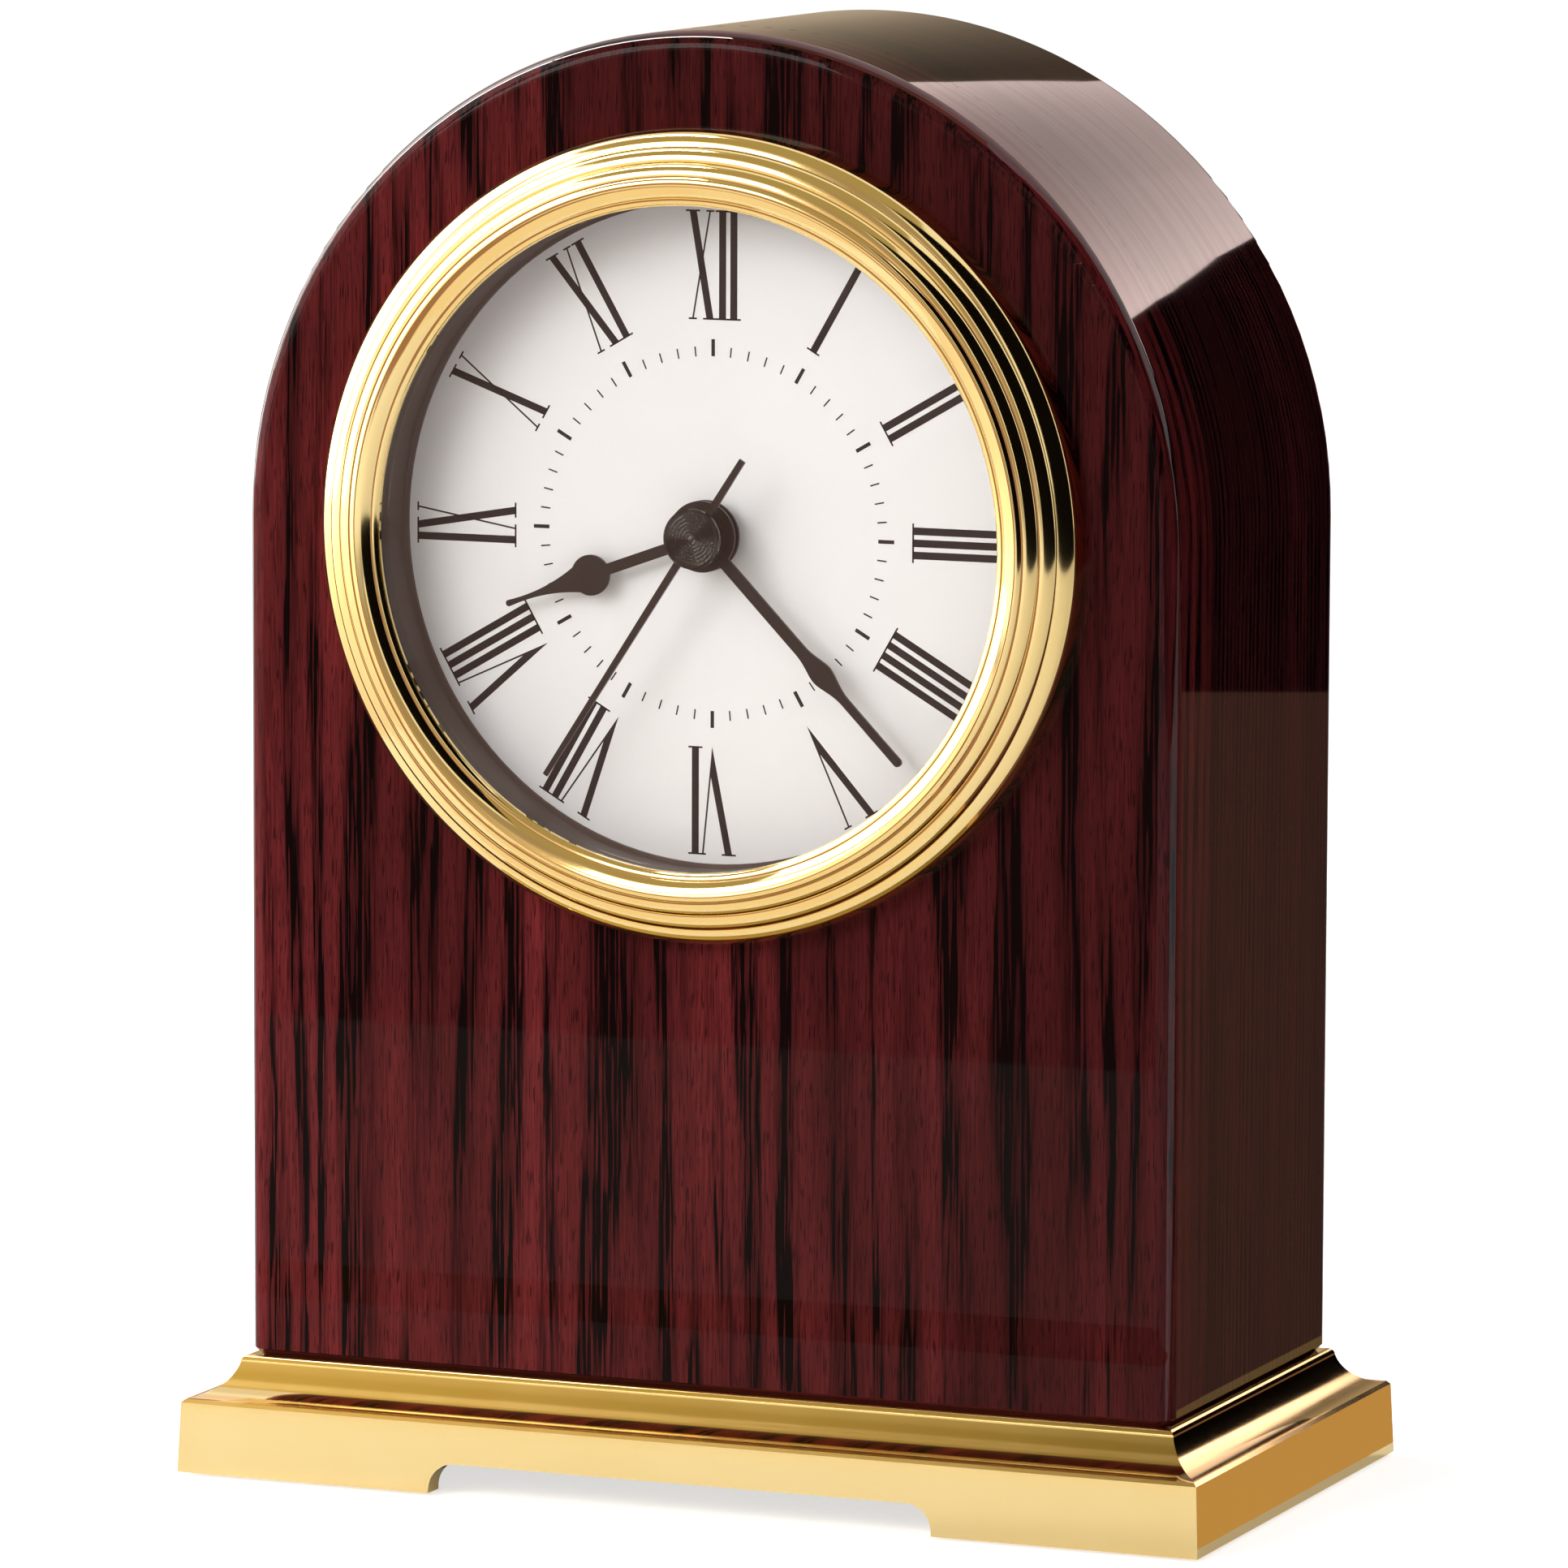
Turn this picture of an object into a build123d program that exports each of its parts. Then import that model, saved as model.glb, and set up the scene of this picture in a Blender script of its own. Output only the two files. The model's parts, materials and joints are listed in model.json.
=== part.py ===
"""Arched table clock: lacquered wooden case on a polished brass plinth, with a
reeded brass bezel, a printed dial and a battery movement behind it.

The clock stands on z = 0 and faces -Y. "Forward" is the distance in front of the
middle of the case, so a larger forward value is nearer to the viewer.
"""
from build123d import *
import math
import os

# Outer sizes of the clock
overall_height = 170.0
base_width = 127.0
base_depth = 68.0
base_height = 13.6
case_width = 115.0
case_depth = 54.0

# Wooden case
front_board = 12.0
case_wall = 9.0
bottom_board = 8.0
back_board = 4.0
rabbet_width = 5.0
case_edge_round = 2.2
case_foot_round = 0.8
board_fit = 0.1
access_radius = 40.0
back_screw_angle = 45.0
access_chamfer = 0.8

# Brass plinth
block_height = 8.6
block_draft = 0.35
block_edge_round = 0.4
cove_depth_share = 0.16
lip_overhang = 0.7
lip_height = 0.8
foot_length = 32.2
foot_arch_height = 4.0
foot_arch_round = 3.2
plinth_wall = 3.0
plinth_roof = 3.0
lower_pocket_roof = 7.6
upper_pocket_inset = 5.0
plinth_rim_gap = 0.4
foot_post_size = 12.0
foot_post_gap = 0.9
pad_radius = 5.0

# Bezel, glass and dial
bezel_radius = 46.6
bezel_opening = 38.0
bezel_wall_height = 1.9
outer_reed_width = 1.85
outer_reed_rise = 2.15
middle_reed_width = 1.79
middle_reed_rise = 1.24
inner_reed_width = 1.66
inner_reed_rise = 1.06
lip_crest_width = 0.9
lip_crest_rise = 0.3
lip_slope_width = 1.5
lip_slope_drop = 0.75
lip_edge_height = 5.35
reed_bulge_share = 0.17
glass_thickness = 1.3
glass_proud = 3.6
glass_overlap = 1.6
glass_fit = 0.15
dial_sink = 3.5
dial_thickness = 0.5
dial_hole_radius = 3.0
reflector_step = 0.4
reflector_ledge = 0.5

# Insert cup that holds the bezel, dial and movement in the bore of the case
bore_radius = 42.0
cup_wall = 1.2
cup_web = 1.2
glass_seat_depth = 1.2
cup_length = 14.0
cup_fit = 0.1
grip_ring_setback = 1.0
grip_ring_length = 8.0
grip_ring_wall = 0.35
grip_ring_fins = 24
grip_fin_width = 0.8

# Movement housing
module_size = 56.0
module_depth = 16.5
module_corner = 3.0
module_plate = 1.4
module_wall = 1.4
room_divider = 1.2
bay_height = 15.4
bushing_radius = 2.8
bushing_proud = 0.5
post_radius = 2.2
post_pitch_across = 47.0
lower_post_drop = 7.4
upper_post_rise = 23.6
layer_gap = 0.3
train_plate_thickness = 1.0
room_fit = 0.1

# Wheels
wheel_thickness = 0.8
layer_pitch = 1.7
running_fit = 0.05
press_clearance = 0.02
arbor_radius = 0.4
bearing_wall = 0.8
spindle_wall = 0.2
minute_pipe_radius = 0.9
hour_pipe_radius = 1.6
motion_module = 0.25
cannon_teeth = 12
motion_teeth = 36
motion_pinion_teeth = 10
hour_teeth = 40
knob_teeth = 12
train_module = 0.25
seconds_teeth = 40
fourth_pinion_teeth = 8
fourth_module = 0.2
fourth_teeth = 48
rotor_pinion_teeth = 8
centre_module = 0.16
centre_teeth = 64
third_pinion_teeth = 8
third_teeth = 60
seconds_pinion_teeth = 8
addendum_share = 0.8
dedendum_share = 1.15
tooth_root_share = 0.6
tooth_tip_share = 0.2
motion_direction = 0.0
fourth_direction = 150.0
rotor_direction = 100.0
third_direction = -30.0
magnet_radius = 2.6
magnet_length = 1.6
magnet_gap = 0.4
knob_radius = 5.0
knob_length = 4.0
knob_gap = 0.5
knob_flutes = 12
knob_flute_radius = 0.6

# Coil, stator and circuit
stator_thickness = 0.8
stator_width = 24.0
stator_limb = 8.0
stator_leg = 4.0
coil_rise = 12.0
core_width = 1.6
core_end = 3.8
bobbin_radius = 2.9
bobbin_tube_radius = 1.35
bobbin_flange = 0.8
winding_radius = 2.6
circuit_width = 14.0
circuit_height = 17.0
circuit_thickness = 1.0
circuit_across = 14.0
circuit_rise = 17.0
chip_radius = 2.2
chip_height = 0.9
crystal_can_radius = 1.0
crystal_can_length = 6.2

# Battery, size AA
battery_radius = 7.25
battery_length = 50.5
battery_nub_radius = 2.6
battery_nub_length = 1.0
battery_lift = 0.3
contact_thickness = 0.4
contact_width = 9.0
contact_dimple_radius = 2.2
contact_gap = 0.2

# Hands, each angle clockwise from twelve o'clock
hand_thickness = 0.4
hour_hand_lift = 1.8
minute_hand_lift = 3.0
second_hand_lift = 5.4
cap_lift = 6.5
hub_radius = 4.1
hour_angle = 250.2
hour_length = 26.4
hour_stem = 1.3
hour_bulb_radius = 2.35
hour_bulb_place = 15.2
hour_shoulder_angle = 50.0
hour_tip = 0.75
minute_angle = 135.7
minute_length = 35.0
minute_stem = 1.4
minute_leaf_start = 17.4
minute_leaf_middle = 21.2
minute_leaf_end = 25.4
minute_leaf_width = 2.6
minute_tip = 1.0
minute_boss_length = 1.0
minute_boss_radius = 3.0
second_angle = 213.3
second_length = 33.5
second_width = 0.9
second_tip = 0.6
second_tail = 10.9
second_tail_width = 0.75
second_collar_radius = 1.4
second_collar_length = 0.7
cap_radius = 3.45
cap_rim = 0.35
cap_rings = 7
cap_ring_pitch = 0.42
cap_ring_depth = 0.12

# Screws
wood_screw_radius = 1.4
wood_screw_length = 9.0
wood_screw_head_radius = 2.8
wood_screw_head_height = 1.8
back_screw_radius = 1.1
back_screw_length = 9.0
back_screw_head_radius = 2.2
cup_screw_radius = 0.9
cup_screw_head_radius = 1.8
cup_screw_pitch = 48.0
case_screw_radius = 0.75
case_screw_head_radius = 1.7
case_screw_head_height = 0.9
case_screw_end_gap = 0.8
screw_fit = 0.05
slot_width = 0.5
slot_depth = 0.5
countersink_angle = 90.0
cut_overrun = 1.0

# Places that follow from the sizes above
case_face = case_depth / 2
arch_radius = case_width / 2
dial_height = overall_height - arch_radius
dial_face = case_face - dial_sink
web_front = dial_face - dial_thickness
module_front = web_front - cup_web
module_back = module_front - module_depth
glass_back = case_face + glass_proud
glass_front = glass_back + glass_thickness
glass_radius = bezel_opening + glass_overlap
cup_inner = glass_radius + glass_fit
cup_outer = cup_inner + cup_wall
room_half = module_size / 2 - module_wall
bay_bottom = -room_half
bay_top = bay_bottom + bay_height
room_bottom = bay_top + room_divider
tray_floor = module_front - module_plate
cover_face = module_back + module_plate
hour_layer = tray_floor - layer_gap
motion_layer = hour_layer - wheel_thickness - layer_gap
train_plate_front = motion_layer - wheel_thickness - layer_gap
train_plate_back = train_plate_front - train_plate_thickness
centre_layer = train_plate_back - layer_gap
third_layer = centre_layer - layer_pitch
seconds_layer = third_layer - layer_pitch
fourth_layer = seconds_layer - layer_pitch
magnet_front = fourth_layer - wheel_thickness - wheel_thickness
magnet_back = magnet_front - magnet_length
arbor_back = cover_face + layer_gap
bearing_front = magnet_back - layer_gap
bearing_radius = arbor_radius + bearing_wall
spindle_radius = arbor_radius + spindle_wall
knob_arbor_radius = minute_pipe_radius + spindle_wall
motion_distance = (cannon_teeth + motion_teeth) * motion_module / 2
hour_module = 2 * motion_distance / (motion_pinion_teeth + hour_teeth)
knob_distance = motion_distance + (motion_teeth + knob_teeth) * motion_module / 2
fourth_distance = (seconds_teeth + fourth_pinion_teeth) * train_module / 2
rotor_distance = (fourth_teeth + rotor_pinion_teeth) * fourth_module / 2
third_distance = (third_pinion_teeth + centre_teeth) * centre_module / 2
third_module = 2 * third_distance / (third_teeth + seconds_pinion_teeth)
hour_hand_back = dial_face + hour_hand_lift
hour_hand_front = hour_hand_back + hand_thickness
minute_hand_back = dial_face + minute_hand_lift
minute_hand_front = minute_hand_back + hand_thickness
minute_boss_front = minute_hand_front + minute_boss_length
second_hand_back = dial_face + second_hand_lift
second_hand_front = second_hand_back + hand_thickness
cap_front = dial_face + cap_lift


def polar(distance, direction):
    """Across and up of a point at a distance and direction, counted from +X."""
    turn = math.radians(direction)
    return distance * math.cos(turn), distance * math.sin(turn)


motion_place = polar(motion_distance, motion_direction)
knob_place = polar(knob_distance, motion_direction)
fourth_place = polar(fourth_distance, fourth_direction)
rotor_step = polar(rotor_distance, rotor_direction)
rotor_place = (fourth_place[0] + rotor_step[0], fourth_place[1] + rotor_step[1])
third_place = polar(third_distance, third_direction)
centre_place = (0, 0)
battery_rise = (bay_bottom + bay_top) / 2
battery_forward = tray_floor - battery_lift - battery_radius
turning_plane = Plane(origin=(0, 0, dial_height), x_dir=(0, -1, 0), z_dir=(-1, 0, 0))
dial_axis = Axis((0, 0, dial_height), (0, -1, 0))


def front_plane(forward, place=(0, 0)):
    """Plane that faces forwards, centred on a place counted from the dial's middle."""
    across, up = place
    return Plane(origin=(across, -forward, dial_height + up), x_dir=(1, 0, 0), z_dir=(0, -1, 0))


def hand_plane(forward, angle):
    """Front plane whose second direction points along a hand."""
    turn = math.radians(angle)
    return Plane(
        origin=(0, -forward, dial_height),
        x_dir=(math.cos(turn), 0, -math.sin(turn)),
        z_dir=(0, -1, 0),
    )


def rod(front, back, radius, place=(0, 0), mode=Mode.ADD):
    """Round bar between two forward distances, or a bore with Mode.SUBTRACT."""
    with BuildSketch(front_plane(back, place)) as section:
        Circle(radius)
    extrude(section.sketch, amount=front - back, mode=mode)


def arched_board(half_width, bottom, front, back, mode=Mode.ADD):
    """Board with straight sides that end in a half circle round the dial's middle."""
    with BuildSketch(front_plane(back)) as section:
        with BuildLine():
            Polyline((-half_width, 0), (-half_width, bottom), (half_width, bottom),
                     (half_width, 0))
            ThreePointArc((half_width, 0), (0, half_width), (-half_width, 0))
        make_face()
    extrude(section.sketch, amount=front - back, mode=mode)


def toothed_disc(teeth, tooth_module, first_tooth, front, place=(0, 0)):
    """Wheel one thickness deep with straight-sided teeth, the first one at an angle."""
    pitch_radius = teeth * tooth_module / 2
    tip_radius = pitch_radius + addendum_share * tooth_module
    root_radius = pitch_radius - dedendum_share * tooth_module
    half_pitch = 180 / teeth
    flank = (
        (root_radius, -tooth_root_share),
        (tip_radius, -tooth_tip_share),
        (tip_radius, tooth_tip_share),
        (root_radius, tooth_root_share),
    )
    corners = []
    for tooth in range(teeth):
        middle = first_tooth + 2 * tooth * half_pitch
        corners += [polar(radius, middle + share * half_pitch) for radius, share in flank]
    with BuildSketch(front_plane(front - wheel_thickness, place)) as section:
        with BuildLine():
            Polyline(*corners, close=True)
        make_face()
    extrude(section.sketch, amount=wheel_thickness)


def gap_towards(direction, teeth):
    """First-tooth angle that leaves a tooth gap facing a direction."""
    return direction + 180 / teeth


def plinth_lines(foot_half, lip_half):
    """Lines of the plinth's edge moulding: block, edge, cove and lip, then mirrored."""
    edge_half = foot_half - block_draft
    edge_top = block_height + block_edge_round
    cove_foot = (edge_half - block_edge_round, edge_top)
    cove_head = (lip_half, base_height - lip_height)
    cove_run = cove_foot[0] - cove_head[0]
    cove_rise = cove_head[1] - cove_foot[1]
    cove_middle = (
        (cove_foot[0] + cove_head[0]) / 2 - cove_depth_share * cove_rise,
        (cove_foot[1] + cove_head[1]) / 2 - cove_depth_share * cove_run,
    )
    Polyline((0, plinth_rim_gap), (foot_half, plinth_rim_gap), (edge_half, block_height))
    Line((edge_half, block_height), cove_foot)
    ThreePointArc(cove_foot, cove_middle, cove_head)
    RadiusArc(cove_head, (lip_half - lip_height, base_height), -lip_height)
    Line((lip_half - lip_height, base_height), (0, base_height))
    mirror(about=Plane.YZ)


def four_corners(across, along):
    """Four places, one towards each corner."""
    return [(x * across, y * along) for x in (-1, 1) for y in (-1, 1)]


lip_half_width = case_width / 2 + lip_overhang
lip_half_depth = case_depth / 2 + lip_overhang
base_screw_places = four_corners(case_width / 2 - 2 * case_wall, case_depth / 4)
foot_post_across = base_width / 2 - plinth_wall - foot_post_size / 2
foot_post_along = base_depth / 2 - plinth_wall - foot_post_size / 2
foot_post_places = four_corners(foot_post_across, foot_post_along)
upper_pocket_roof = base_height - plinth_roof

# Brass plinth: moulded block, hollow below, with a foot arch front and back
with BuildPart() as base_plinth:
    with BuildSketch(Plane.XZ.offset(-base_depth / 2)):
        with BuildLine():
            plinth_lines(base_width / 2, lip_half_width)
        make_face()
    extrude(amount=base_depth)
    with BuildSketch(Plane.YZ.offset(-base_width / 2)):
        with BuildLine():
            plinth_lines(base_depth / 2, lip_half_depth)
        make_face()
    extrude(amount=base_width, mode=Mode.INTERSECT)
    for inset, roof in ((0, lower_pocket_roof), (upper_pocket_inset, upper_pocket_roof)):
        with BuildSketch(Plane.XY):
            Rectangle(
                base_width - 2 * (plinth_wall + inset),
                base_depth - 2 * (plinth_wall + inset),
            )
            with Locations(*foot_post_places):
                Rectangle(foot_post_size, foot_post_size, mode=Mode.SUBTRACT)
        extrude(amount=roof, mode=Mode.SUBTRACT)
    with BuildSketch(Plane.XY):
        with Locations(*foot_post_places):
            Rectangle(foot_post_size, foot_post_size)
    extrude(amount=foot_post_gap, mode=Mode.SUBTRACT)
    with BuildSketch(Plane.XZ.offset(-base_depth / 2 - cut_overrun)) as foot_arch:
        with BuildLine():
            arch_half = base_width / 2 - foot_length
            FilletPolyline(
                (-arch_half, 0),
                (-arch_half, foot_arch_height),
                (arch_half, foot_arch_height),
                (arch_half, 0),
                radius=foot_arch_round,
            )
            Line((arch_half, 0), (-arch_half, 0))
        make_face()
    extrude(amount=base_depth + 2 * cut_overrun, mode=Mode.SUBTRACT)
    with BuildSketch(Plane.XY.offset(upper_pocket_roof)):
        with Locations(*base_screw_places):
            Circle(wood_screw_radius + screw_fit)
    extrude(amount=plinth_roof, mode=Mode.SUBTRACT)
base_plinth.part.label = "base_plinth"

# Felt pads under the four posts of the plinth
with BuildPart() as foot_pads:
    with BuildSketch(Plane.XY):
        with Locations(*foot_post_places):
            Circle(pad_radius)
    extrude(amount=foot_post_gap)
foot_pads.part.label = "foot_pads"

# Screws up through the plinth into the bottom board
with BuildPart() as base_screws:
    with BuildSketch(Plane.XY.offset(upper_pocket_roof - wood_screw_head_height)):
        with Locations(*base_screw_places):
            Circle(wood_screw_head_radius)
    extrude(amount=wood_screw_head_height)
    head_edges = base_screws.edges().group_by(Axis.Z)[0]
    chamfer(head_edges, length=wood_screw_head_height / 3)
    with BuildSketch(Plane.XY.offset(upper_pocket_roof)):
        with Locations(*base_screw_places):
            Circle(wood_screw_radius)
    extrude(amount=wood_screw_length)
    with BuildSketch(Plane.XY.offset(upper_pocket_roof - wood_screw_head_height)):
        with Locations(*base_screw_places):
            Rectangle(2 * wood_screw_head_radius, slot_width)
    extrude(amount=slot_depth, mode=Mode.SUBTRACT)
base_screws.part.label = "base_screws"

case_foot = base_height - dial_height
inner_half = arch_radius - case_wall
panel_half = inner_half + rabbet_width
panel_face = back_board - case_face
ledge_middle = (inner_half + panel_half) / 2
shoulder = polar(ledge_middle, back_screw_angle)
back_screw_places = [
    (-ledge_middle, case_foot + bottom_board),
    (ledge_middle, case_foot + bottom_board),
    (-shoulder[0], shoulder[1]),
    shoulder,
]

# Front board with the bore for the insert and a rounded front edge
with BuildPart() as case_front:
    arched_board(arch_radius, case_foot, case_face, case_face - front_board)
    front_edges = case_front.edges().group_by(Axis.Y)[0]
    fillet(front_edges.sort_by(Axis.Z)[1:], radius=case_edge_round)
    foot_edges = case_front.edges().group_by(Axis.Z)[0].sort_by(Axis.Y)[:-1]
    chamfer(foot_edges, length=case_foot_round)
    rod(case_face + cut_overrun, case_face - front_board - cut_overrun, bore_radius,
        mode=Mode.SUBTRACT)
case_front.part.label = "case_front"

# Sides and arched top in one bent wall, rabbeted at the back for the back panel
with BuildPart() as case_surround:
    arched_board(arch_radius, case_foot, case_face - front_board, -case_face)
    back_edges = case_surround.edges().group_by(Axis.Y)[-1]
    fillet(back_edges.sort_by(Axis.Z)[1:], radius=case_edge_round)
    foot_edges = case_surround.edges().group_by(Axis.Z)[0].sort_by(Axis.Y)[1:]
    chamfer(foot_edges, length=case_foot_round)
    arched_board(inner_half, case_foot - cut_overrun, case_face, -case_face - cut_overrun,
                 Mode.SUBTRACT)
    arched_board(panel_half, case_foot - cut_overrun, panel_face, -case_face - cut_overrun,
                 Mode.SUBTRACT)
    for place in back_screw_places:
        rod(panel_face + back_screw_length - back_board, panel_face, back_screw_radius + screw_fit,
            place, Mode.SUBTRACT)
case_surround.part.label = "case_surround"

# Bottom board between the two sides
with BuildPart() as case_bottom:
    with BuildSketch(Plane.XY.offset(base_height)):
        with Locations((0, (front_board - back_board) / 2)):
            Rectangle(2 * inner_half - 2 * board_fit, case_depth - front_board - back_board)
    extrude(amount=bottom_board)
    with BuildSketch(Plane.XY.offset(base_height)):
        with Locations(*base_screw_places):
            Circle(wood_screw_radius + screw_fit)
    extrude(amount=wood_screw_length - plinth_roof, mode=Mode.SUBTRACT)
case_bottom.part.label = "case_bottom"

# Back panel in the rabbet, with a round opening that reaches the movement
with BuildPart() as back_panel:
    arched_board(panel_half - board_fit, case_foot + board_fit, panel_face, -case_face)
    rod(panel_face + cut_overrun, -case_face - cut_overrun, access_radius, mode=Mode.SUBTRACT)
    chamfer(back_panel.edges().filter_by(GeomType.CIRCLE).sort_by(Axis.Y)[-1],
            length=access_chamfer)
    for place in back_screw_places:
        rod(panel_face, -case_face, back_screw_radius + screw_fit, place, Mode.SUBTRACT)
back_panel.part.label = "back_panel"


def screw(head_front, shank_back, radius, head_radius, head_height, place, flat_head=False):
    """Screw driven forwards or backwards, with a slotted pan or countersunk head."""
    outward = 1 if head_front > shank_back else -1
    head_back = head_front - outward * head_height
    if flat_head:
        with Locations(front_plane((head_front + head_back) / 2, place)):
            Cone(radius, head_radius, head_height)
    else:
        rod(max(head_front, head_back), min(head_front, head_back), head_radius, place)
    rod(max(head_back, shank_back), min(head_back, shank_back), radius, place)
    slot_floor = head_front - outward * slot_depth
    with BuildSketch(front_plane(min(head_front, slot_floor), place)) as slot:
        Rectangle(2 * head_radius, slot_width)
    extrude(slot.sketch, amount=slot_depth, mode=Mode.SUBTRACT)


# Screws that hold the back panel in its rabbet
with BuildPart() as back_panel_screws:
    for place in back_screw_places:
        screw(-case_face - case_screw_head_height, panel_face + back_screw_length - back_board,
              back_screw_radius, back_screw_head_radius, case_screw_head_height, place)
back_panel_screws.part.label = "back_panel_screws"

bezel_back = case_face
cup_front = glass_back - glass_seat_depth
outer_step = (bezel_radius, case_face + bezel_wall_height)
groove_three = (outer_step[0] - outer_reed_width, outer_step[1] + outer_reed_rise)
groove_two = (groove_three[0] - middle_reed_width, groove_three[1] + middle_reed_rise)
groove_one = (groove_two[0] - inner_reed_width, groove_two[1] + inner_reed_rise)
crest = (groove_one[0] - lip_crest_width, groove_one[1] + lip_crest_rise)
slope_end = (crest[0] - lip_slope_width, crest[1] - lip_slope_drop)
lip_edge = (bezel_opening, case_face + lip_edge_height)


def reed(outer, inner, bulge_share=reed_bulge_share):
    """Rounded step of the bezel between two points given as radius and forward."""
    run = outer[0] - inner[0]
    rise = inner[1] - outer[1]
    middle = (
        (outer[1] + inner[1]) / 2 + bulge_share * run,
        (outer[0] + inner[0]) / 2 + bulge_share * rise,
    )
    ThreePointArc((outer[1], outer[0]), middle, (inner[1], inner[0]))


# Brass bezel: three reeds that step up to a rounded crest, then a sloping inner lip
with BuildPart() as bezel:
    with BuildSketch(turning_plane):
        with BuildLine():
            Line((bezel_back, bezel_radius), (outer_step[1], outer_step[0]))
            reed(outer_step, groove_three)
            reed(groove_three, groove_two)
            reed(groove_two, groove_one)
            reed(groove_one, crest)
            reed(crest, slope_end, 0.5 * reed_bulge_share)
            reed(slope_end, lip_edge)
            Polyline(
                (lip_edge[1], lip_edge[0]),
                (glass_front, bezel_opening),
                (glass_front, cup_inner),
                (cup_front, cup_inner),
                (cup_front, cup_outer + cup_fit),
                (bezel_back, cup_outer + cup_fit),
                (bezel_back, bezel_radius),
            )
        make_face()
    revolve(axis=dial_axis)
bezel.part.label = "bezel"

# Flat glass behind the inner lip of the bezel
with BuildPart() as crystal:
    rod(glass_front, glass_back, glass_radius)
crystal.part.label = "crystal"

# Dark ring between the glass and the dial
with BuildPart() as reflector_ring:
    wide = bezel_opening + reflector_step
    with BuildSketch(turning_plane):
        with BuildLine():
            Polyline(
                (dial_face, bezel_opening),
                (dial_face + reflector_ledge, bezel_opening),
                (dial_face + reflector_ledge + reflector_step, wide),
                (glass_back, wide),
                (glass_back, glass_radius),
                (dial_face, glass_radius),
                close=True,
            )
        make_face()
    revolve(axis=dial_axis)
reflector_ring.part.label = "reflector_ring"

# Dial plate
with BuildPart() as dial:
    rod(dial_face, web_front, glass_radius)
    rod(dial_face, web_front, dial_hole_radius, mode=Mode.SUBTRACT)
dial.part.label = "dial"

cup_back = cup_front - cup_length
cup_screw_places = four_corners(cup_screw_pitch / 2, cup_screw_pitch / 2)

# Insert cup: a ring wall in the bore of the case, with a web that carries the dial
with BuildPart() as insert_cup:
    with BuildSketch(turning_plane):
        with BuildLine():
            Polyline(
                (cup_front, cup_outer),
                (cup_back, cup_outer),
                (cup_back, cup_inner),
                (module_front, cup_inner),
                (module_front, dial_hole_radius),
                (web_front, dial_hole_radius),
                (web_front, cup_inner),
                (cup_front, cup_inner),
                close=True,
            )
        make_face()
    revolve(axis=dial_axis)
    for place in cup_screw_places:
        with Locations(front_plane(web_front, place)):
            CounterSinkHole(cup_screw_radius + screw_fit, cup_screw_head_radius + screw_fit,
                            counter_sink_angle=countersink_angle)
insert_cup.part.label = "insert_cup"

grip_front = case_face - grip_ring_setback
grip_back = grip_front - grip_ring_length
grip_inner = cup_outer + screw_fit

# Rubber grip ring with fins that hold the cup in the bore
with BuildPart() as grip_ring:
    rod(grip_front, grip_back, grip_inner + grip_ring_wall)
    fin_reach = bore_radius - screw_fit - grip_inner
    with BuildSketch(front_plane(grip_back)):
        with PolarLocations(grip_inner + fin_reach / 2, grip_ring_fins):
            Rectangle(fin_reach, grip_fin_width)
    extrude(amount=grip_ring_length)
    rod(grip_front, grip_back, grip_inner, mode=Mode.SUBTRACT)
grip_ring.part.label = "grip_ring"

# Countersunk screws through the web of the cup into the movement
with BuildPart() as cup_screws:
    head_height = cup_screw_head_radius - cup_screw_radius
    for place in cup_screw_places:
        screw(web_front, tray_floor, cup_screw_radius, cup_screw_head_radius, head_height, place,
              flat_head=True)
cup_screws.part.label = "cup_screws"

post_places = [
    (side * post_pitch_across / 2, rise) for side in (-1, 1)
    for rise in (-lower_post_drop, upper_post_rise)
]

# Movement tray: front plate, walls, bushing and the open battery bay
with BuildPart() as movement_tray:
    with BuildSketch(front_plane(module_back)):
        RectangleRounded(module_size, module_size, module_corner)
    extrude(amount=module_depth)
    with BuildSketch(front_plane(module_back)):
        with Locations((0, (room_bottom + room_half) / 2)):
            Rectangle(2 * room_half, room_half - room_bottom)
        with Locations((0, battery_rise)):
            Rectangle(2 * room_half, bay_height)
    extrude(amount=module_depth - module_plate, mode=Mode.SUBTRACT)
    with BuildSketch(front_plane(module_back)):
        with Locations((0, (bay_top + module_size / 2) / 2)):
            Rectangle(module_size, module_size / 2 - bay_top)
    extrude(amount=module_plate, mode=Mode.SUBTRACT)
    rod(dial_face + bushing_proud, tray_floor, bushing_radius)
    for place in post_places:
        rod(tray_floor, train_plate_front, post_radius, place)
        rod(tray_floor, train_plate_front, case_screw_radius + screw_fit, place, Mode.SUBTRACT)
    rod(tray_floor, motion_layer - wheel_thickness, spindle_radius, motion_place)
    rod(dial_face + bushing_proud, tray_floor, hour_pipe_radius + running_fit,
        mode=Mode.SUBTRACT)
    rod(tray_floor + module_plate / 2, tray_floor, spindle_radius + running_fit, knob_place,
        Mode.SUBTRACT)
    for place in cup_screw_places:
        rod(module_front, module_front - module_plate, cup_screw_radius + screw_fit, place,
            Mode.SUBTRACT)
movement_tray.part.label = "movement_tray"


def side_rod(left, right, radius, forward, up, mode=Mode.ADD):
    """Round bar that lies across the clock between two places on X."""
    with BuildSketch(side_plane(left, forward, up)) as section:
        Circle(radius)
    extrude(section.sketch, amount=right - left, mode=mode)


def side_plane(across, forward, up):
    """Plane that faces +X, its first direction backwards and its second up."""
    return Plane(origin=(across, -forward, dial_height + up), x_dir=(0, 1, 0), z_dir=(1, 0, 0))


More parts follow.
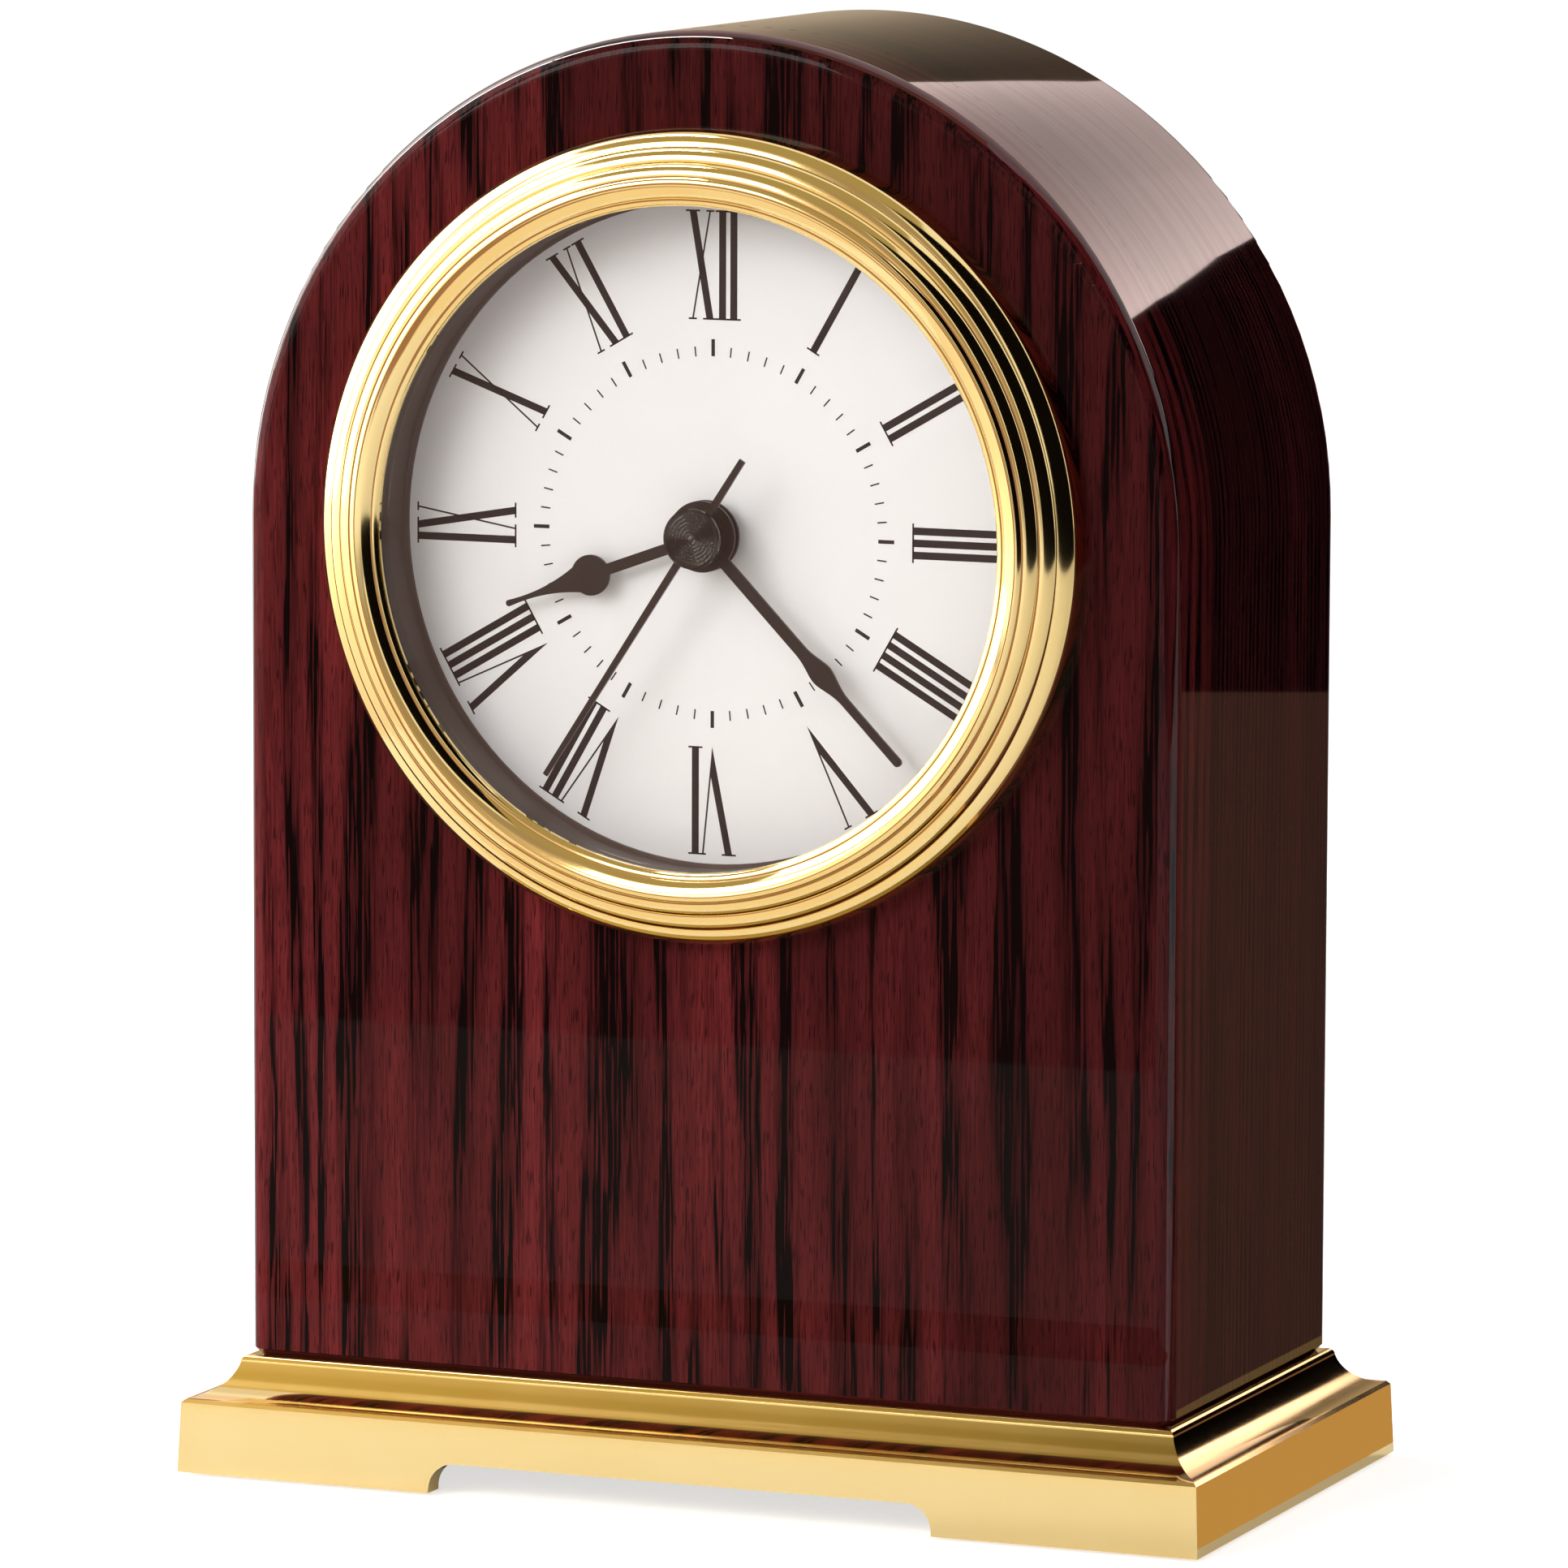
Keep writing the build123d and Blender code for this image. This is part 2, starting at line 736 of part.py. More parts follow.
# Plate that carries the front ends of the wheel arbors
with BuildPart() as train_plate:
    with BuildSketch(front_plane(train_plate_back)):
        with Locations((0, (room_bottom + room_half) / 2)):
            Rectangle(2 * (room_half - room_fit), room_half - room_bottom - 2 * room_fit)
    extrude(amount=train_plate_thickness)
    rod(train_plate_front, train_plate_back, minute_pipe_radius + running_fit,
        mode=Mode.SUBTRACT)
    rod(train_plate_front, train_plate_back, knob_arbor_radius + running_fit, knob_place,
        Mode.SUBTRACT)
    for place in (third_place, fourth_place, rotor_place):
        rod(train_plate_front, train_plate_back, arbor_radius + running_fit, place,
            Mode.SUBTRACT)
    for place in post_places:
        rod(train_plate_front, train_plate_back, case_screw_radius + screw_fit, place,
            Mode.SUBTRACT)
train_plate.part.label = "train_plate"

# Back cover of the movement with its posts and the bearings of the arbors
with BuildPart() as movement_cover:
    with BuildSketch(front_plane(module_back)):
        RectangleRounded(module_size, module_size, module_corner)
        with Locations((0, (bay_top + module_size / 2) / 2)):
            Rectangle(module_size, module_size / 2 - bay_top, mode=Mode.INTERSECT)
    extrude(amount=module_plate)
    for place in post_places:
        rod(train_plate_back, cover_face, post_radius, place)
        rod(train_plate_back, module_back, case_screw_radius + screw_fit, place,
            Mode.SUBTRACT)
    for place in (centre_place, third_place, fourth_place, rotor_place):
        rod(bearing_front, cover_face, bearing_radius, place)
        rod(bearing_front, cover_face, arbor_radius + running_fit, place, Mode.SUBTRACT)
    rod(cover_face, module_back, knob_arbor_radius + running_fit, knob_place, Mode.SUBTRACT)
movement_cover.part.label = "movement_cover"

# Screws through the cover and the train plate into the tray
with BuildPart() as movement_screws:
    for place in post_places:
        screw(module_back - case_screw_head_height, tray_floor - case_screw_end_gap,
              case_screw_radius, case_screw_head_radius, case_screw_head_height, place)
movement_screws.part.label = "movement_screws"

# Hour wheel with its pipe
with BuildPart() as hour_wheel:
    toothed_disc(hour_teeth, hour_module, gap_towards(motion_direction, hour_teeth), hour_layer)
    rod(hour_hand_front + press_clearance, hour_layer - wheel_thickness, hour_pipe_radius)
    rod(hour_hand_front + press_clearance, hour_layer - wheel_thickness,
        minute_pipe_radius + running_fit, mode=Mode.SUBTRACT)
hour_wheel.part.label = "hour_wheel"

# Motion wheel: driven by the cannon pinion, its own pinion drives the hour wheel
with BuildPart() as motion_wheel:
    toothed_disc(motion_teeth, motion_module, gap_towards(motion_direction + 180, motion_teeth),
                 motion_layer, motion_place)
    toothed_disc(motion_pinion_teeth, hour_module, motion_direction + 180, hour_layer,
                 motion_place)
    rod(hour_layer, motion_layer, hour_module * (motion_pinion_teeth / 2 - dedendum_share),
        motion_place)
    rod(hour_layer, motion_layer - wheel_thickness, spindle_radius + running_fit, motion_place,
        Mode.SUBTRACT)
motion_wheel.part.label = "motion_wheel"

minute_pipe_back = centre_layer - wheel_thickness - 2 * layer_gap

# Minute arbor: a pipe round the seconds arbor, with the cannon pinion
with BuildPart() as minute_arbor:
    rod(minute_boss_front, minute_pipe_back, minute_pipe_radius)
    toothed_disc(cannon_teeth, motion_module, motion_direction, motion_layer)
    rod(minute_boss_front, minute_pipe_back, arbor_radius + running_fit, mode=Mode.SUBTRACT)
minute_arbor.part.label = "minute_arbor"

# Setting knob behind the cover, with its pinion on the motion wheel
with BuildPart() as set_knob:
    knob_front = module_back - knob_gap
    toothed_disc(knob_teeth, motion_module, motion_direction + 180, motion_layer, knob_place)
    rod(motion_layer, knob_front, knob_arbor_radius, knob_place)
    rod(tray_floor + module_plate / 4, motion_layer, spindle_radius, knob_place)
    with BuildSketch(front_plane(knob_front - knob_length, knob_place)):
        Circle(knob_radius)
        with PolarLocations(knob_radius, knob_flutes):
            Circle(knob_flute_radius, mode=Mode.SUBTRACT)
    extrude(amount=knob_length)
set_knob.part.label = "set_knob"

# Centre wheel: slips on the minute arbor when the hands are set
with BuildPart() as centre_wheel:
    toothed_disc(centre_teeth, centre_module, gap_towards(third_direction, centre_teeth),
                 centre_layer)
    rod(centre_layer - wheel_thickness, minute_pipe_back, hour_pipe_radius)
    rod(centre_layer, minute_pipe_back, minute_pipe_radius + running_fit, mode=Mode.SUBTRACT)
centre_wheel.part.label = "centre_wheel"

# Third wheel with the pinion that drives the centre wheel
with BuildPart() as third_wheel:
    rod(train_plate_front, arbor_back, arbor_radius, third_place)
    toothed_disc(third_teeth, third_module, gap_towards(third_direction + 180, third_teeth),
                 third_layer, third_place)
    toothed_disc(third_pinion_teeth, centre_module, third_direction + 180, centre_layer,
                 third_place)
third_wheel.part.label = "third_wheel"

# Seconds wheel on the arbor that carries the seconds hand
with BuildPart() as seconds_wheel:
    rod(second_hand_front, arbor_back, arbor_radius)
    toothed_disc(seconds_teeth, train_module, gap_towards(fourth_direction, seconds_teeth),
                 seconds_layer)
    toothed_disc(seconds_pinion_teeth, third_module, third_direction, third_layer)
seconds_wheel.part.label = "seconds_wheel"

# Fourth wheel between the rotor and the seconds wheel
with BuildPart() as fourth_wheel:
    rod(train_plate_front, arbor_back, arbor_radius, fourth_place)
    toothed_disc(fourth_pinion_teeth, train_module, fourth_direction + 180, seconds_layer,
                 fourth_place)
    toothed_disc(fourth_teeth, fourth_module, gap_towards(rotor_direction, fourth_teeth),
                 fourth_layer, fourth_place)
fourth_wheel.part.label = "fourth_wheel"

# Rotor: magnet and pinion on one arbor
with BuildPart() as rotor:
    rod(train_plate_front, arbor_back, arbor_radius, rotor_place)
    toothed_disc(rotor_pinion_teeth, fourth_module, rotor_direction + 180, fourth_layer,
                 rotor_place)
    rod(magnet_front, magnet_back, magnet_radius, rotor_place)
rotor.part.label = "rotor"

stator_front = (magnet_front + magnet_back + stator_thickness) / 2
stator_back = stator_front - stator_thickness
coil_place = (rotor_place[0], rotor_place[1] + coil_rise)
core_front = stator_front + stator_thickness
coil_forward = (core_front + stator_front) / 2
leg_inset = stator_width / 2 - stator_leg

# Stator: a limb round the rotor and two legs up to the coil
with BuildPart() as stator_plate:
    with BuildSketch(front_plane(stator_back, rotor_place)):
        Rectangle(stator_width, stator_limb)
        for side in (-1, 1):
            with Locations((side * (leg_inset + stator_leg / 2), (coil_rise + stator_leg / 2) / 2)):
                Rectangle(stator_leg, coil_rise + stator_leg / 2)
        Circle(magnet_radius + magnet_gap, mode=Mode.SUBTRACT)
    extrude(amount=stator_thickness)
stator_plate.part.label = "stator_plate"

# Coil core: a strip with a tab on each leg of the stator
with BuildPart() as coil_core:
    with BuildSketch(front_plane(stator_front, coil_place)):
        Rectangle(stator_width, core_width)
        for side in (-1, 1):
            with Locations((side * (stator_width - core_end) / 2, 0)):
                Rectangle(core_end, core_end)
    extrude(amount=core_front - stator_front)
coil_core.part.label = "coil_core"

bobbin_half = leg_inset - room_fit
bobbin_left = coil_place[0] - bobbin_half
bobbin_right = coil_place[0] + bobbin_half

# Coil bobbin round the core, with a flange at each end
with BuildPart() as coil_bobbin:
    side_rod(bobbin_left, bobbin_right, bobbin_tube_radius, coil_forward, coil_place[1])
    side_rod(bobbin_left, bobbin_left + bobbin_flange, bobbin_radius, coil_forward, coil_place[1])
    side_rod(bobbin_right - bobbin_flange, bobbin_right, bobbin_radius, coil_forward,
             coil_place[1])
    with BuildSketch(side_plane(bobbin_left, coil_forward, coil_place[1])):
        Rectangle(stator_thickness + 2 * running_fit, core_width + 2 * running_fit)
    extrude(amount=bobbin_right - bobbin_left, mode=Mode.SUBTRACT)
coil_bobbin.part.label = "coil_bobbin"

# Copper winding on the bobbin
with BuildPart() as coil_winding:
    side_rod(bobbin_left + bobbin_flange, bobbin_right - bobbin_flange, winding_radius,
             coil_forward, coil_place[1])
    side_rod(bobbin_left + bobbin_flange, bobbin_right - bobbin_flange,
             bobbin_tube_radius + press_clearance, coil_forward, coil_place[1], Mode.SUBTRACT)
coil_winding.part.label = "coil_winding"

circuit_place = (circuit_across, circuit_rise)
circuit_face = cover_face + circuit_thickness

# Circuit board on the inside of the cover
with BuildPart() as circuit_board:
    with BuildSketch(front_plane(cover_face, circuit_place)):
        Rectangle(circuit_width, circuit_height)
    extrude(amount=circuit_thickness)
circuit_board.part.label = "circuit_board"

# Sealed clock chip on the board
with BuildPart() as clock_chip:
    rod(circuit_face + chip_height, circuit_face, chip_radius,
        (circuit_across - chip_radius, circuit_rise - chip_radius))
    chamfer(clock_chip.edges().group_by(Axis.Y)[0], length=chip_height / 2)
clock_chip.part.label = "clock_chip"

# Quartz crystal in its round can, lying on the board
with BuildPart() as quartz_can:
    side_rod(circuit_across - crystal_can_length / 2, circuit_across + crystal_can_length / 2,
             crystal_can_radius, circuit_face + crystal_can_radius,
             circuit_rise + circuit_height / 4)
quartz_can.part.label = "quartz_can"

battery_half = battery_length / 2

# Battery in the open bay
with BuildPart() as battery:
    side_rod(-battery_half, battery_half - battery_nub_length, battery_radius, battery_forward,
             battery_rise)
    chamfer(battery.edges(), length=battery_nub_length / 2)
    side_rod(battery_half - battery_nub_length, battery_half, battery_nub_radius,
             battery_forward, battery_rise)
battery.part.label = "battery"

contact_back = module_back + module_plate


def contact_plate(side):
    """Flat contact against one end wall of the battery bay."""
    middle = side * (room_half - contact_thickness / 2)
    with BuildSketch(front_plane(contact_back, (middle, battery_rise))) as section:
        Rectangle(contact_thickness, contact_width)
    extrude(section.sketch, amount=tray_floor - contact_back)


# Positive contact with its dimple
with BuildPart() as positive_contact:
    contact_plate(1)
    side_rod(battery_half + contact_gap, room_half - contact_thickness, contact_dimple_radius,
             battery_forward, battery_rise)
positive_contact.part.label = "positive_contact"

# Negative contact with a bowed spring leaf
with BuildPart() as negative_contact:
    contact_plate(-1)
    leaf_foot = contact_thickness / 2 - room_half
    leaf_reach = -leaf_foot - battery_half - contact_gap
    with BuildSketch(Plane.XY.offset(dial_height + battery_rise - contact_dimple_radius)):
        with BuildLine():
            ends = [(leaf_foot, side * battery_radius / 2 - battery_forward) for side in (-1, 1)]
            ThreePointArc(ends[0], (leaf_foot + leaf_reach, -battery_forward), ends[1])
            ThreePointArc(ends[0], (leaf_foot + leaf_reach / 2, -battery_forward), ends[1])
        make_face()
    extrude(amount=2 * contact_dimple_radius)
negative_contact.part.label = "negative_contact"

# Hour hand: stem, round bulb and a hollow-sided point
with BuildPart() as hour_hand:
    with BuildSketch(hand_plane(hour_hand_back, hour_angle)):
        Circle(hub_radius)
        with Locations((0, hour_bulb_place / 2)):
            Rectangle(hour_stem, hour_bulb_place)
        with Locations((0, hour_bulb_place)):
            Circle(hour_bulb_radius)
        shoulder_half, shoulder_rise = polar(hour_bulb_radius, hour_shoulder_angle)
        shoulder_place = hour_bulb_place + shoulder_rise
        waist_place = shoulder_place + (hour_length - shoulder_place) / 3
        point_place = hour_length - hour_tip / 2
        with BuildLine():
            Line((0, shoulder_place), (shoulder_half, shoulder_place))
            ThreePointArc((shoulder_half, shoulder_place), (hour_stem / 2, waist_place),
                          (hour_tip / 2, point_place))
            TangentArc((hour_tip / 2, point_place), (0, hour_length), tangent=(0, 1))
            mirror(about=Plane.YZ)
        make_face()
        Circle(hour_pipe_radius + press_clearance, mode=Mode.SUBTRACT)
    extrude(amount=hand_thickness)
hour_hand.part.label = "hour_hand"

# Minute hand: stem, smooth leaf and a straight point, with a boss on the pipe
with BuildPart() as minute_hand:
    with BuildSketch(hand_plane(minute_hand_back, minute_angle)):
        Circle(hub_radius)
        with Locations((0, minute_leaf_start / 2)):
            Rectangle(minute_stem, minute_leaf_start)
        point_place = minute_length - minute_tip / 2
        with BuildLine():
            Line((0, minute_leaf_start), (minute_stem / 2, minute_leaf_start))
            Spline((minute_stem / 2, minute_leaf_start),
                   (minute_leaf_width / 2, minute_leaf_middle),
                   (minute_tip / 2, minute_leaf_end), tangents=((0, 1), (0, 1)))
            Line((minute_tip / 2, minute_leaf_end), (minute_tip / 2, point_place))
            TangentArc((minute_tip / 2, point_place), (0, minute_length), tangent=(0, 1))
            mirror(about=Plane.YZ)
        make_face()
    extrude(amount=hand_thickness)
    rod(minute_boss_front, minute_hand_front, minute_boss_radius)
    rod(minute_boss_front, minute_hand_back, minute_pipe_radius + press_clearance,
        mode=Mode.SUBTRACT)
minute_hand.part.label = "minute_hand"

# Seconds hand: slender blade with a short tail and a collar
with BuildPart() as second_hand:
    with BuildSketch(hand_plane(second_hand_back, second_angle)):
        with BuildLine():
            Polyline(
                (-second_tail_width / 2, -second_tail),
                (second_tail_width / 2, -second_tail),
                (second_width / 2, 0),
                (second_tip / 2, second_length),
                (-second_tip / 2, second_length),
                (-second_width / 2, 0),
                close=True,
            )
        make_face()
    extrude(amount=hand_thickness)
    rod(second_hand_front, second_hand_back - second_collar_length, second_collar_radius)
    rod(second_hand_front, second_hand_back - second_collar_length,
        arbor_radius + press_clearance, mode=Mode.SUBTRACT)
second_hand.part.label = "second_hand"

# Round cap in front of the hands, turned with rings
with BuildPart() as hand_cap:
    cap_corners = [
        (second_hand_front, 0),
        (second_hand_front, cap_radius),
        (cap_front - cap_rim / 2, cap_radius),
        (cap_front, cap_radius - cap_rim / 2),
    ]
    for ring in range(cap_rings):
        crest_radius = cap_radius - cap_rim - ring * cap_ring_pitch
        cap_corners.append((cap_front, crest_radius))
        cap_corners.append((cap_front - cap_ring_depth, crest_radius - cap_ring_pitch / 2))
    cap_corners.append((cap_front, 0))
    with BuildSketch(turning_plane):
        with BuildLine():
            Polyline(*cap_corners, close=True)
        make_face()
    revolve(axis=dial_axis)
hand_cap.part.label = "hand_cap"

os.makedirs("parts", exist_ok=True)
pieces = (
    base_plinth, foot_pads, base_screws, case_front, case_surround, case_bottom, back_panel,
    back_panel_screws, bezel, crystal, reflector_ring, dial, insert_cup, grip_ring, cup_screws,
    movement_tray, train_plate, movement_cover, movement_screws, hour_wheel, motion_wheel,
    minute_arbor, set_knob, centre_wheel, third_wheel, seconds_wheel, fourth_wheel, rotor,
    stator_plate, coil_core, coil_bobbin, coil_winding, circuit_board, clock_chip, quartz_can,
    battery, positive_contact, negative_contact, hour_hand, minute_hand, second_hand, hand_cap,
)
for piece in pieces:
    export_step(piece.part, f"parts/{piece.part.label}.step")
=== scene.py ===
"""The looks of a small arched table clock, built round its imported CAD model.

Most nodes are shown as they are, with materials of their own. The bezel is spun again in finer steps,
and the two lacquered parts of the case are copied with smooth shading, so that they mirror cleanly.
What is printed on the dial is added here, and so are the studio, the lamps and the camera.
"""

import json
import math

import bmesh
import bpy
from mathutils import Matrix, Vector

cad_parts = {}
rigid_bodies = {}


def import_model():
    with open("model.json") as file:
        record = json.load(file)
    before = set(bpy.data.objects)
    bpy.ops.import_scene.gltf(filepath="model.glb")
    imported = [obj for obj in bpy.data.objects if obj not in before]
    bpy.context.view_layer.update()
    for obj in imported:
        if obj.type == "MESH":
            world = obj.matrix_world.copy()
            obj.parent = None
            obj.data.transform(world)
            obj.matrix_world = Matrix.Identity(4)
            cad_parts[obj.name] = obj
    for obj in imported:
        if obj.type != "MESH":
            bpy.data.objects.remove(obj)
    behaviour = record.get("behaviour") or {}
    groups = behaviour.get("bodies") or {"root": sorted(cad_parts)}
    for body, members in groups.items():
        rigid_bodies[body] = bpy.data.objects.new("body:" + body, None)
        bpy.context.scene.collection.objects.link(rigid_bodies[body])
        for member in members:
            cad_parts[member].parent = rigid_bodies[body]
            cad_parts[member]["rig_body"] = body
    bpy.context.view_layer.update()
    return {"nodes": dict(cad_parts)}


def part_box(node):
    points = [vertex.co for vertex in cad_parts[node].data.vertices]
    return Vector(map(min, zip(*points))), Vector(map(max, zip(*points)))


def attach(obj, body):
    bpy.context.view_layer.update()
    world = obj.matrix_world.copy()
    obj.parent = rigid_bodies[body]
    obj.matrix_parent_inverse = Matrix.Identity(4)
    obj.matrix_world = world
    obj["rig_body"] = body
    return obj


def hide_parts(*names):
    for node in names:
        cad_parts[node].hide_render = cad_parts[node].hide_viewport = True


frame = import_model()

MM = 0.001
nodes = frame["nodes"]
scene = bpy.context.scene

# The dial's middle and face, from the frame
dial_low, dial_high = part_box("dial")
dial_middle = (dial_low + dial_high) / 2
dial_face = dial_low.y

# The arch, from the case's box: its radius is half the width, and the straight sides end where it springs
case_low, case_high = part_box("case_surround")
ARCH_RADIUS = (case_high.x - case_low.x) / 2
ARCH_SPRING = case_high.z - ARCH_RADIUS

# The photograph's camera, fitted to the clock's edges: metres, degrees and millimetres of lens
CAMERA_PLACE = (0.4365, -1.0645, 0.2301)
CAMERA_AZIMUTH = 22.34
CAMERA_DIP = 7.39
CAMERA_ROLL = 0.19
CAMERA_LENS = 228.1
CAMERA_SENSOR = 36
CAMERA_SIGHT = 100

# The bezel's turned reeds in millimetres: radius, distance ahead of the clock's middle, bulge of the arc that follows
BEZEL_ARCS = (
    (46.6, 28.9, 0.17),
    (44.75, 31.05, 0.17),
    (42.96, 32.29, 0.17),
    (41.3, 33.35, 0.17),
    (40.4, 33.65, 0.085),
    (38.9, 32.9, 0.17),
    (38.0, 32.35, 0.0),
)
# Its cut back: the glass's seat, the collar that enters the insert cup and the face on the case
BEZEL_BACK = ((38.0, 31.9), (39.75, 31.9), (39.75, 29.4), (41.05, 29.4), (41.05, 27.0), (46.6, 27.0))
REED_STEPS = 12
BEZEL_TURNS = 288
BEZEL_CREASE = 20

# The dial's printing: radii from the middle, widths of the strokes
NUMERAL_FOOT = 24.5 * MM
NUMERAL_HEAD = 37.0 * MM
NUMERAL_BAR = 0.86 * MM
NUMERAL_HAIRLINE = 0.2 * MM
SERIF_LENGTH = 1.75 * MM
THIN_SERIF_LENGTH = 1.0 * MM
TRACK_FOOT = 20.35 * MM
HOUR_MARK_HEAD = 22.3 * MM
MINUTE_MARK_HEAD = 21.5 * MM
HOUR_MARK_WIDTH = 0.43 * MM
MINUTE_MARK_WIDTH = 0.17 * MM
INK_THICKNESS = 0.02 * MM

# The letters: how far a V's heads stand from its point, where its strokes join, and how far an X's strokes lean
V_LEFT = 2.52 * MM
V_RIGHT = 1.25 * MM
V_FORK = 0.28
X_LEAN = 1.07 * MM
# How far each letter reaches left and right of its middle, and how far the next letter's middle is from the last
LETTER_REACH = {"I": (0.43 * MM, 0.43 * MM), "V": (V_LEFT, V_RIGHT), "X": (1.5 * MM, 1.5 * MM)}
LETTER_STEP = {"II": 1.38 * MM, "VI": 2.08 * MM, "XI": 2.6 * MM, "IX": 2.35 * MM}
NUMERALS = ("XII", "I", "II", "III", "IIII", "V", "VI", "VII", "VIII", "IX", "X", "XI")

# Smooth copies of nodes: corners closer than this are one, and flatter folds than this are no edge
MERGED = 0.001 * MM
FLAT_FOLD = 0.2
CREASE = 30
# A face of the front board that looks this much forward belongs to its front
FRONTWARD = -0.8

# Sockets that are reached by number: a Mix node's colours, and the range a Map Range node reads and gives
COLOUR_A, COLOUR_B = 6, 7
FROM_MIN, FROM_MAX, TO_MIN, TO_MAX = 1, 2, 3, 4


def colour(code):
    """A hex colour as it shows on screen, turned to the linear values that shaders use."""
    shares = [int(code[i : i + 2], 16) / 255 for i in (0, 2, 4)]
    return tuple(s / 12.92 if s <= 0.04045 else ((s + 0.055) / 1.055) ** 2.4 for s in shares) + (1.0,)


def add(tree, kind, settings=(), links=()):
    """Adds one shader node with its settings, by property or input, and its links from other nodes."""
    node = tree.nodes.new("ShaderNode" + kind)
    for name, value in dict(settings).items():
        if isinstance(name, str) and hasattr(node, name):
            setattr(node, name, value)
        else:
            node.inputs[name].default_value = value
    for name, source in dict(links).items():
        tree.links.new(source, node.inputs[name])
    return node


def empty_material(name):
    """A material with no nodes yet."""
    material = bpy.data.materials.new(name)
    material.use_nodes = True
    material.node_tree.nodes.clear()
    return material, material.node_tree


def start_material(name, **shader_values):
    """A material with one Principled shader at its plain values, and the object's coordinates."""
    material, tree = empty_material(name)
    values = {key.replace("_", " "): value for key, value in shader_values.items()}
    shader = add(tree, "BsdfPrincipled", values)
    add(tree, "OutputMaterial", {}, {"Surface": shader.outputs["BSDF"]})
    place = add(tree, "TexCoord").outputs["Object"]
    return material, tree, shader, place


def per_size(across, deep, high):
    """The Mapping scale that makes one unit of a pattern as large as these sizes, in millimetres."""
    return (1000 / across, 1000 / deep, 1000 / high)


def turned_brass():
    """Brass spun on a lathe, polished with a buff and lacquered: mirror bright, with faint rings round its axis."""
    material, tree, shader, place = start_material("turned_brass", Metallic=1.0)
    centred = add(tree, "VectorMath", {"operation": "SUBTRACT", 1: tuple(dial_middle)}, {0: place})
    split = add(tree, "SeparateXYZ", {}, {0: centred.outputs[0]})
    flat = add(tree, "CombineXYZ", {}, {0: split.outputs[0], 1: split.outputs[2]})
    radius = add(tree, "VectorMath", {"operation": "LENGTH"}, {0: flat.outputs[0]})
    # Tool marks 0.25 mm apart, far finer on the real one
    ring_place = add(tree, "CombineXYZ", {}, {0: radius.outputs["Value"]})
    rings = add(tree, "TexNoise", {"Scale": 1000 / 0.25, "Detail": 2.0}, {"Vector": ring_place.outputs[0]})
    # The lacquer's haze in patches of 9 mm
    haze = add(tree, "TexNoise", {"Scale": 1000 / 9, "Detail": 3.0}, {"Vector": place})
    tones = {"data_type": "RGBA", COLOUR_A: colour("F4D28A"), COLOUR_B: colour("FBE1A2")}
    tone = add(tree, "Mix", tones, {0: haze.outputs[0]})
    polish = add(tree, "MapRange", {TO_MIN: 0.05, TO_MAX: 0.11}, {0: haze.outputs[0]})
    bump = add(tree, "Bump", {"Strength": 0.02, "Distance": 0.05 * MM}, {"Height": rings.outputs[0]})
    tree.links.new(tone.outputs[2], shader.inputs["Base Color"])
    tree.links.new(polish.outputs[0], shader.inputs["Roughness"])
    tree.links.new(bump.outputs[0], shader.inputs["Normal"])
    return material


def buffed_brass():
    """Brass bar, milled and buffed along its length under lacquer: a mirror with a faint long haze."""
    material, tree, shader, place = start_material("buffed_brass", Metallic=1.0)
    # Buffing lines 0.6 mm apart and 30 mm long, far finer on the real one, and haze in patches of 14 mm
    stretched = add(tree, "Mapping", {"Scale": per_size(30, 30, 0.6)}, {"Vector": place})
    lines = add(tree, "TexNoise", {"Scale": 1.0, "Detail": 3.0}, {"Vector": stretched.outputs[0]})
    haze = add(tree, "TexNoise", {"Scale": 1000 / 14, "Detail": 2.0}, {"Vector": place})
    tones = {"data_type": "RGBA", COLOUR_A: colour("F6D892"), COLOUR_B: colour("FBE2A4")}
    tone = add(tree, "Mix", tones, {0: haze.outputs[0]})
    polish = add(tree, "MapRange", {TO_MIN: 0.06, TO_MAX: 0.13}, {0: haze.outputs[0]})
    bump = add(tree, "Bump", {"Strength": 0.02, "Distance": 0.05 * MM}, {"Height": lines.outputs[0]})
    tree.links.new(tone.outputs[2], shader.inputs["Base Color"])
    tree.links.new(polish.outputs[0], shader.inputs["Roughness"])
    tree.links.new(bump.outputs[0], shader.inputs["Normal"])
    return material


